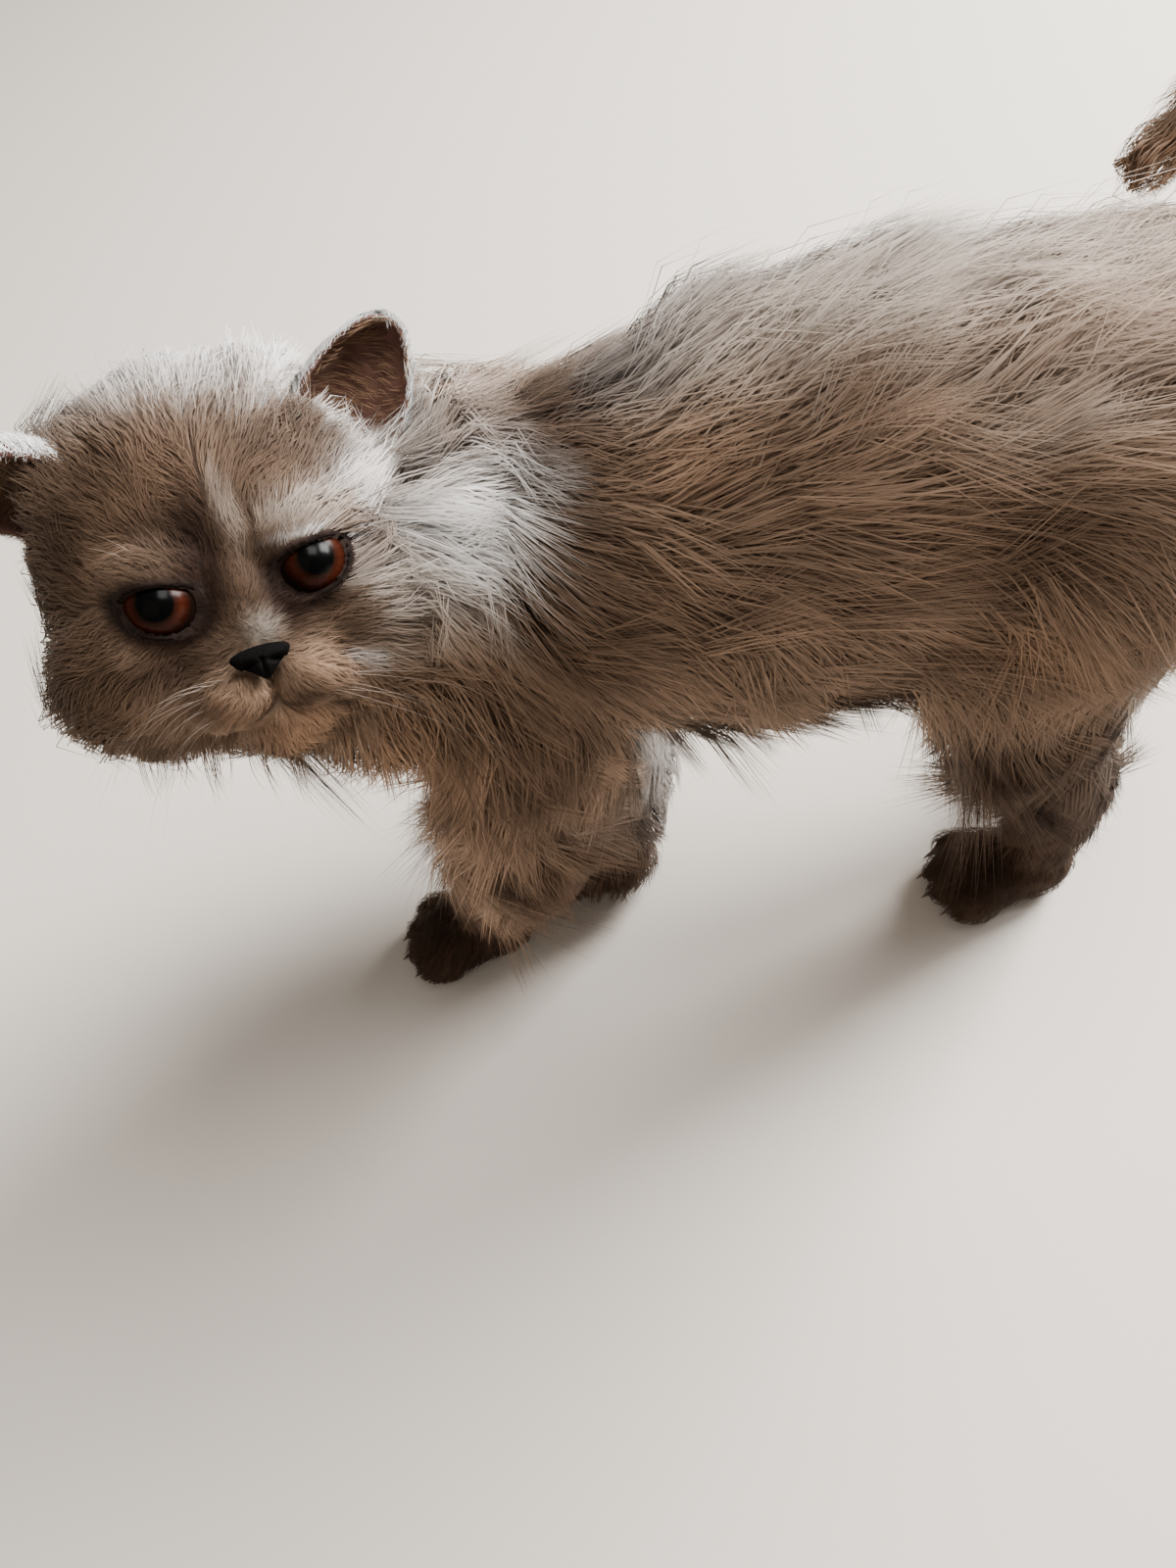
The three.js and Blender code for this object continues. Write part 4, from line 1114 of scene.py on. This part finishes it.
def makeClaws():
    c = clawShape
    bm = bmesh.new()
    for paw in paws.values():
        turn = math.radians(paw["turn"])
        for k, x in zip((-1.5, -0.5, 0.5, 1.5), ("back", "front", "front", "back")):
            shares = np.linspace(0, 1, c["steps"])
            forward = toes[x] - toes["size"][0] + 1.5 - c["length"] * shares * 0.75
            up = 7.2 - 3.8 * shares ** 1.7
            sideways = np.full(len(shares), k * toes["apart"])
            path = np.stack([
                paw["x"] + forward * math.cos(turn) - sideways * math.sin(turn),
                paw["y"] + forward * math.sin(turn) + sideways * math.cos(turn), up], 1)
            sweepInto(bm, path, c["root"] * (1 - 0.9 * shares ** 1.3), 8)
    return finishSweeps(bm, "claws")


whiskers = makeWhiskers()
claws = makeClaws()
looseHairs = {
    "earWisps": makeWisps("earWisps", wispShape["ear"], earWisps(False)),
    "earStrands": makeWisps("earStrands", wispShape["ear"], earWisps(True)),
    "jawWisps": makeWisps("jawWisps", wispShape["jaw"], jawWisps()),
}
print("whiskers, loose hairs and claws made")


# Materials
def nodeGroup(name, inputs, outputs):
    group = bpy.data.node_groups.new(name, "ShaderNodeTree")
    for label, kind, value in inputs:
        socket = group.interface.new_socket(name=label, in_out="INPUT", socket_type=kind)
        socket.default_value = value
    for label, kind in outputs:
        group.interface.new_socket(name=label, in_out="OUTPUT", socket_type=kind)
    return group, group.nodes.new("NodeGroupInput"), group.nodes.new("NodeGroupOutput")


def hairVariation():
    group, given, result = nodeGroup(
        "hairVariation",
        [("Tone", "NodeSocketColor", (0.5, 0.5, 0.5, 1)), ("Scale", "NodeSocketFloat", 120.0), ("Amount", "NodeSocketFloat", 0.3)],
        [("Color", "NodeSocketColor"), ("Height", "NodeSocketFloat")])
    nodes, links = group.nodes, group.links
    place = nodes.new("ShaderNodeTexCoord")
    noise = nodes.new("ShaderNodeTexNoise")
    noise.inputs["Detail"].default_value = 4
    links.new(place.outputs["Object"], noise.inputs["Vector"])
    links.new(given.outputs["Scale"], noise.inputs["Scale"])
    spread = nodes.new("ShaderNodeMapRange")
    spread.inputs["From Min"].default_value = 0.3
    spread.inputs["From Max"].default_value = 0.7
    links.new(noise.outputs["Fac"], spread.inputs["Value"])
    minus = nodes.new("ShaderNodeMath")
    minus.operation = "SUBTRACT"
    minus.inputs[1].default_value = 0.5
    links.new(spread.outputs["Result"], minus.inputs[0])
    times = nodes.new("ShaderNodeMath")
    times.operation = "MULTIPLY_ADD"
    times.inputs[2].default_value = 1.0
    links.new(minus.outputs[0], times.inputs[0])
    links.new(given.outputs["Amount"], times.inputs[1])
    tint = nodes.new("ShaderNodeVectorMath")
    tint.operation = "SCALE"
    links.new(given.outputs["Tone"], tint.inputs[0])
    links.new(times.outputs[0], tint.inputs["Scale"])
    links.new(tint.outputs[0], result.inputs["Color"])
    links.new(noise.outputs["Fac"], result.inputs["Height"])
    return group


variation = hairVariation()


def newMaterial(name, roughness, coatWeight=0.0, sheen=0.0):
    material = bpy.data.materials.new(name)
    material.use_nodes = True
    shader = material.node_tree.nodes["Principled BSDF"]
    shader.inputs["Roughness"].default_value = roughness
    shader.inputs["Coat Weight"].default_value = coatWeight
    shader.inputs["Sheen Weight"].default_value = sheen
    shader.inputs["Specular IOR Level"].default_value = 0.25
    return material, material.node_tree.nodes, material.node_tree.links, shader


def toneMaterial(name, roughness, scale, amount, sheen, bump=0.0):
    material, nodes, links, shader = newMaterial(name, roughness, sheen=sheen)
    tone = nodes.new("ShaderNodeAttribute")
    tone.attribute_name = "tone"
    vary = nodes.new("ShaderNodeGroup")
    vary.node_tree = variation
    vary.inputs["Scale"].default_value = scale
    vary.inputs["Amount"].default_value = amount
    links.new(tone.outputs["Color"], vary.inputs["Tone"])
    links.new(vary.outputs["Color"], shader.inputs["Base Color"])
    if bump:
        raised = nodes.new("ShaderNodeBump")
        raised.inputs["Strength"].default_value = bump
        raised.inputs["Distance"].default_value = 0.001
        links.new(vary.outputs["Height"], raised.inputs["Height"])
        links.new(raised.outputs["Normal"], shader.inputs["Normal"])
    return material


def plainMaterial(name, colour, roughness, scale, amount, coatWeight=0.0, bump=0.3):
    material, nodes, links, shader = newMaterial(name, roughness, coatWeight)
    vary = nodes.new("ShaderNodeGroup")
    vary.node_tree = variation
    vary.inputs["Tone"].default_value = (*colour, 1)
    vary.inputs["Scale"].default_value = scale
    vary.inputs["Amount"].default_value = amount
    links.new(vary.outputs["Color"], shader.inputs["Base Color"])
    raised = nodes.new("ShaderNodeBump")
    raised.inputs["Strength"].default_value = bump
    raised.inputs["Distance"].default_value = 0.0004
    links.new(vary.outputs["Height"], raised.inputs["Height"])
    links.new(raised.outputs["Normal"], shader.inputs["Normal"])
    return material


def eyeMaterial():
    material, nodes, links, shader = newMaterial("copperEye", 0.22)
    shader.inputs["Specular IOR Level"].default_value = 0.07
    gaze = nodes.new("ShaderNodeAttribute")
    gaze.attribute_name = "gaze"
    radius = nodes.new("ShaderNodeVectorMath")
    radius.operation = "LENGTH"
    links.new(gaze.outputs["Vector"], radius.inputs[0])
    way = nodes.new("ShaderNodeVectorMath")
    way.operation = "NORMALIZE"
    links.new(gaze.outputs["Vector"], way.inputs[0])
    streaks = nodes.new("ShaderNodeTexNoise")
    streaks.inputs["Scale"].default_value = 9
    streaks.inputs["Detail"].default_value = 3
    links.new(way.outputs[0], streaks.inputs["Vector"])
    share = nodes.new("ShaderNodeMath")
    share.operation = "DIVIDE"
    share.inputs[1].default_value = 10.0
    links.new(radius.outputs["Value"], share.inputs[0])
    ramp = nodes.new("ShaderNodeValToRGB")
    links.new(share.outputs[0], ramp.inputs["Fac"])
    stops = [
        (0.0, (0.001, 0.001, 0.001)), (0.43, (0.001, 0.001, 0.001)), (0.48, (0.014, 0.004, 0.002)),
        (0.62, (0.034, 0.007, 0.003)), (0.76, (0.018, 0.004, 0.002)), (0.86, (0.006, 0.003, 0.002)),
        (1.0, (0.01, 0.005, 0.004)),
    ]
    ramp.color_ramp.elements[0].color = (*stops[0][1], 1)
    ramp.color_ramp.elements[1].position = stops[-1][0]
    ramp.color_ramp.elements[1].color = (*stops[-1][1], 1)
    for at, colour in stops[1:-1]:
        stop = ramp.color_ramp.elements.new(at)
        stop.color = (*colour, 1)
    mix = nodes.new("ShaderNodeVectorMath")
    mix.operation = "SCALE"
    brightness = nodes.new("ShaderNodeMapRange")
    brightness.inputs["To Min"].default_value = 0.55
    brightness.inputs["To Max"].default_value = 1.5
    links.new(streaks.outputs["Fac"], brightness.inputs["Value"])
    links.new(ramp.outputs["Color"], mix.inputs[0])
    links.new(brightness.outputs["Result"], mix.inputs["Scale"])
    links.new(mix.outputs[0], shader.inputs["Base Color"])
    return material


furMaterial = toneMaterial("longFur", 0.7, 60, 0.22, 0.03)
skinMaterial = toneMaterial("underFur", 0.9, 400, 0.5, 0.0, bump=0.6)
leatherMaterial = plainMaterial("noseLeather", (0.004, 0.0035, 0.0035), 0.75, 1400, 0.5, bump=0.5)
rimMaterial = plainMaterial("lidRim", (0.006, 0.003, 0.002), 0.8, 900, 0.4)
for material, shine in ((leatherMaterial, 0.02), (rimMaterial, 0.1), (furMaterial, 0.1)):
    material.node_tree.nodes["Principled BSDF"].inputs["Specular IOR Level"].default_value = shine
earMaterial = plainMaterial("earSkin", (0.12, 0.058, 0.043), 0.8, 220, 0.5)
eyeLook = eyeMaterial()
whiskerMaterial = plainMaterial("whiskerHair", (0.30, 0.24, 0.20), 0.5, 300, 0.3, bump=0.1)
looseColours = {"earWisps": colours["white"], "earStrands": colours["umber"], "jawWisps": colours["smoke"]}
clawMaterial = plainMaterial("clawHorn", (0.09, 0.065, 0.05), 0.35, 500, 0.4, coatWeight=0.2, bump=0.2)


def dress(piece, material, slot, *nodes):
    piece.data.materials.clear()
    piece.data.materials.append(material)
    if nodes:
        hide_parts(*nodes)
    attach(piece, "root")


fleshNodes = [
    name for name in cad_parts
    if not name.startswith(("eye", "ear", "nose"))
]
for face in skin.data.polygons:
    face.use_smooth = True
dress(skin, skinMaterial, "smoke_fur", *fleshNodes)
coatSlots = {
    "coatFace": "silver_fur", "coatCrown": "silver_fur", "coatRuff": "silver_fur",
    "coatForeLeg": "brown_fur", "coatHindLeg": "brown_fur", "coatPaws": "dark_fur",
}
for piece in coat + earFur:
    dress(piece, furMaterial, coatSlots.get(piece.name.replace("Left", "").replace("Right", ""), "smoke_fur"))
for piece, node in zip(eyes, ("eye_right", "eye_left")):
    dress(piece, eyeLook, "eye", node)
for piece in lidRims:
    dress(piece, rimMaterial, "nose_leather")
dress(whiskers, whiskerMaterial, "silver_fur")
for name, piece in looseHairs.items():
    dress(piece, plainMaterial(name, looseColours[name], 0.7, 300, 0.3, bump=0.1), "silver_fur")
dress(claws, clawMaterial, "nose_leather")
dress(nose, leatherMaterial, "nose_leather", "nose")
for piece, node in zip(ears, ("ear_right", "ear_left")):
    dress(piece, earMaterial, "ear_skin", node)
print("materials given")

# Floor, light and camera
view = {"place": (4.7, -263.9, 423.8), "right": (0.9857, -0.0294, -0.1656), "down": (-0.1206, -0.8101, -0.5738)}
view["ahead"] = (-0.1173, 0.5856, -0.8021)


def makeFloor():
    bm = bmesh.new()
    bmesh.ops.create_grid(bm, x_segments=1, y_segments=1, size=3.0)
    floor = meshOf(bm, "floor")
    material, nodes, links, shader = newMaterial("paleFloor", 0.7)
    shader.inputs["Base Color"].default_value = (0.72, 0.66, 0.59, 1)
    floor.data.materials.append(material)


def areaLight(name, place, aim, size, power, colour):
    light = bpy.data.lights.new(name, "AREA")
    light.size = size
    light.energy = power
    light.color = colour
    lamp = bpy.data.objects.new(name, light)
    bpy.context.scene.collection.objects.link(lamp)
    lamp.location = place
    lamp.rotation_euler = (Vector(aim) - Vector(place)).to_track_quat("-Z", "Y").to_euler()


makeFloor()
areaLight("windowLight", (1.35, 0.85, 1.1), (0, 0, 0.12), 0.9, 140, (1.0, 0.99, 0.98))
areaLight("topLight", (0.5, 0.1, 1.7), (0, 0, 0.2), 0.8, 30, (1.0, 0.98, 0.96))
areaLight("fillLight", (-0.7, -1.3, 1.3), (0, 0, 0.1), 1.8, 5, (1.0, 0.88, 0.76))
world = bpy.data.worlds.new("studio")
world.use_nodes = True
world.node_tree.nodes["Background"].inputs["Color"].default_value = (1.0, 0.93, 0.85, 1)
world.node_tree.nodes["Background"].inputs["Strength"].default_value = 0.24
bpy.context.scene.world = world

lens = bpy.data.cameras.new("camera")
lens.sensor_fit = "VERTICAL"
lens.sensor_height = 36
lens.lens = 27.216
camera = bpy.data.objects.new("camera", lens)
bpy.context.scene.collection.objects.link(camera)
axes = Matrix((view["right"], [-x for x in view["down"]], [-x for x in view["ahead"]])).transposed()
camera.matrix_world = Matrix.Translation(Vector(toFrame(view["place"]))) @ axes.to_4x4()
bpy.context.scene.camera = camera

print("scene finished")
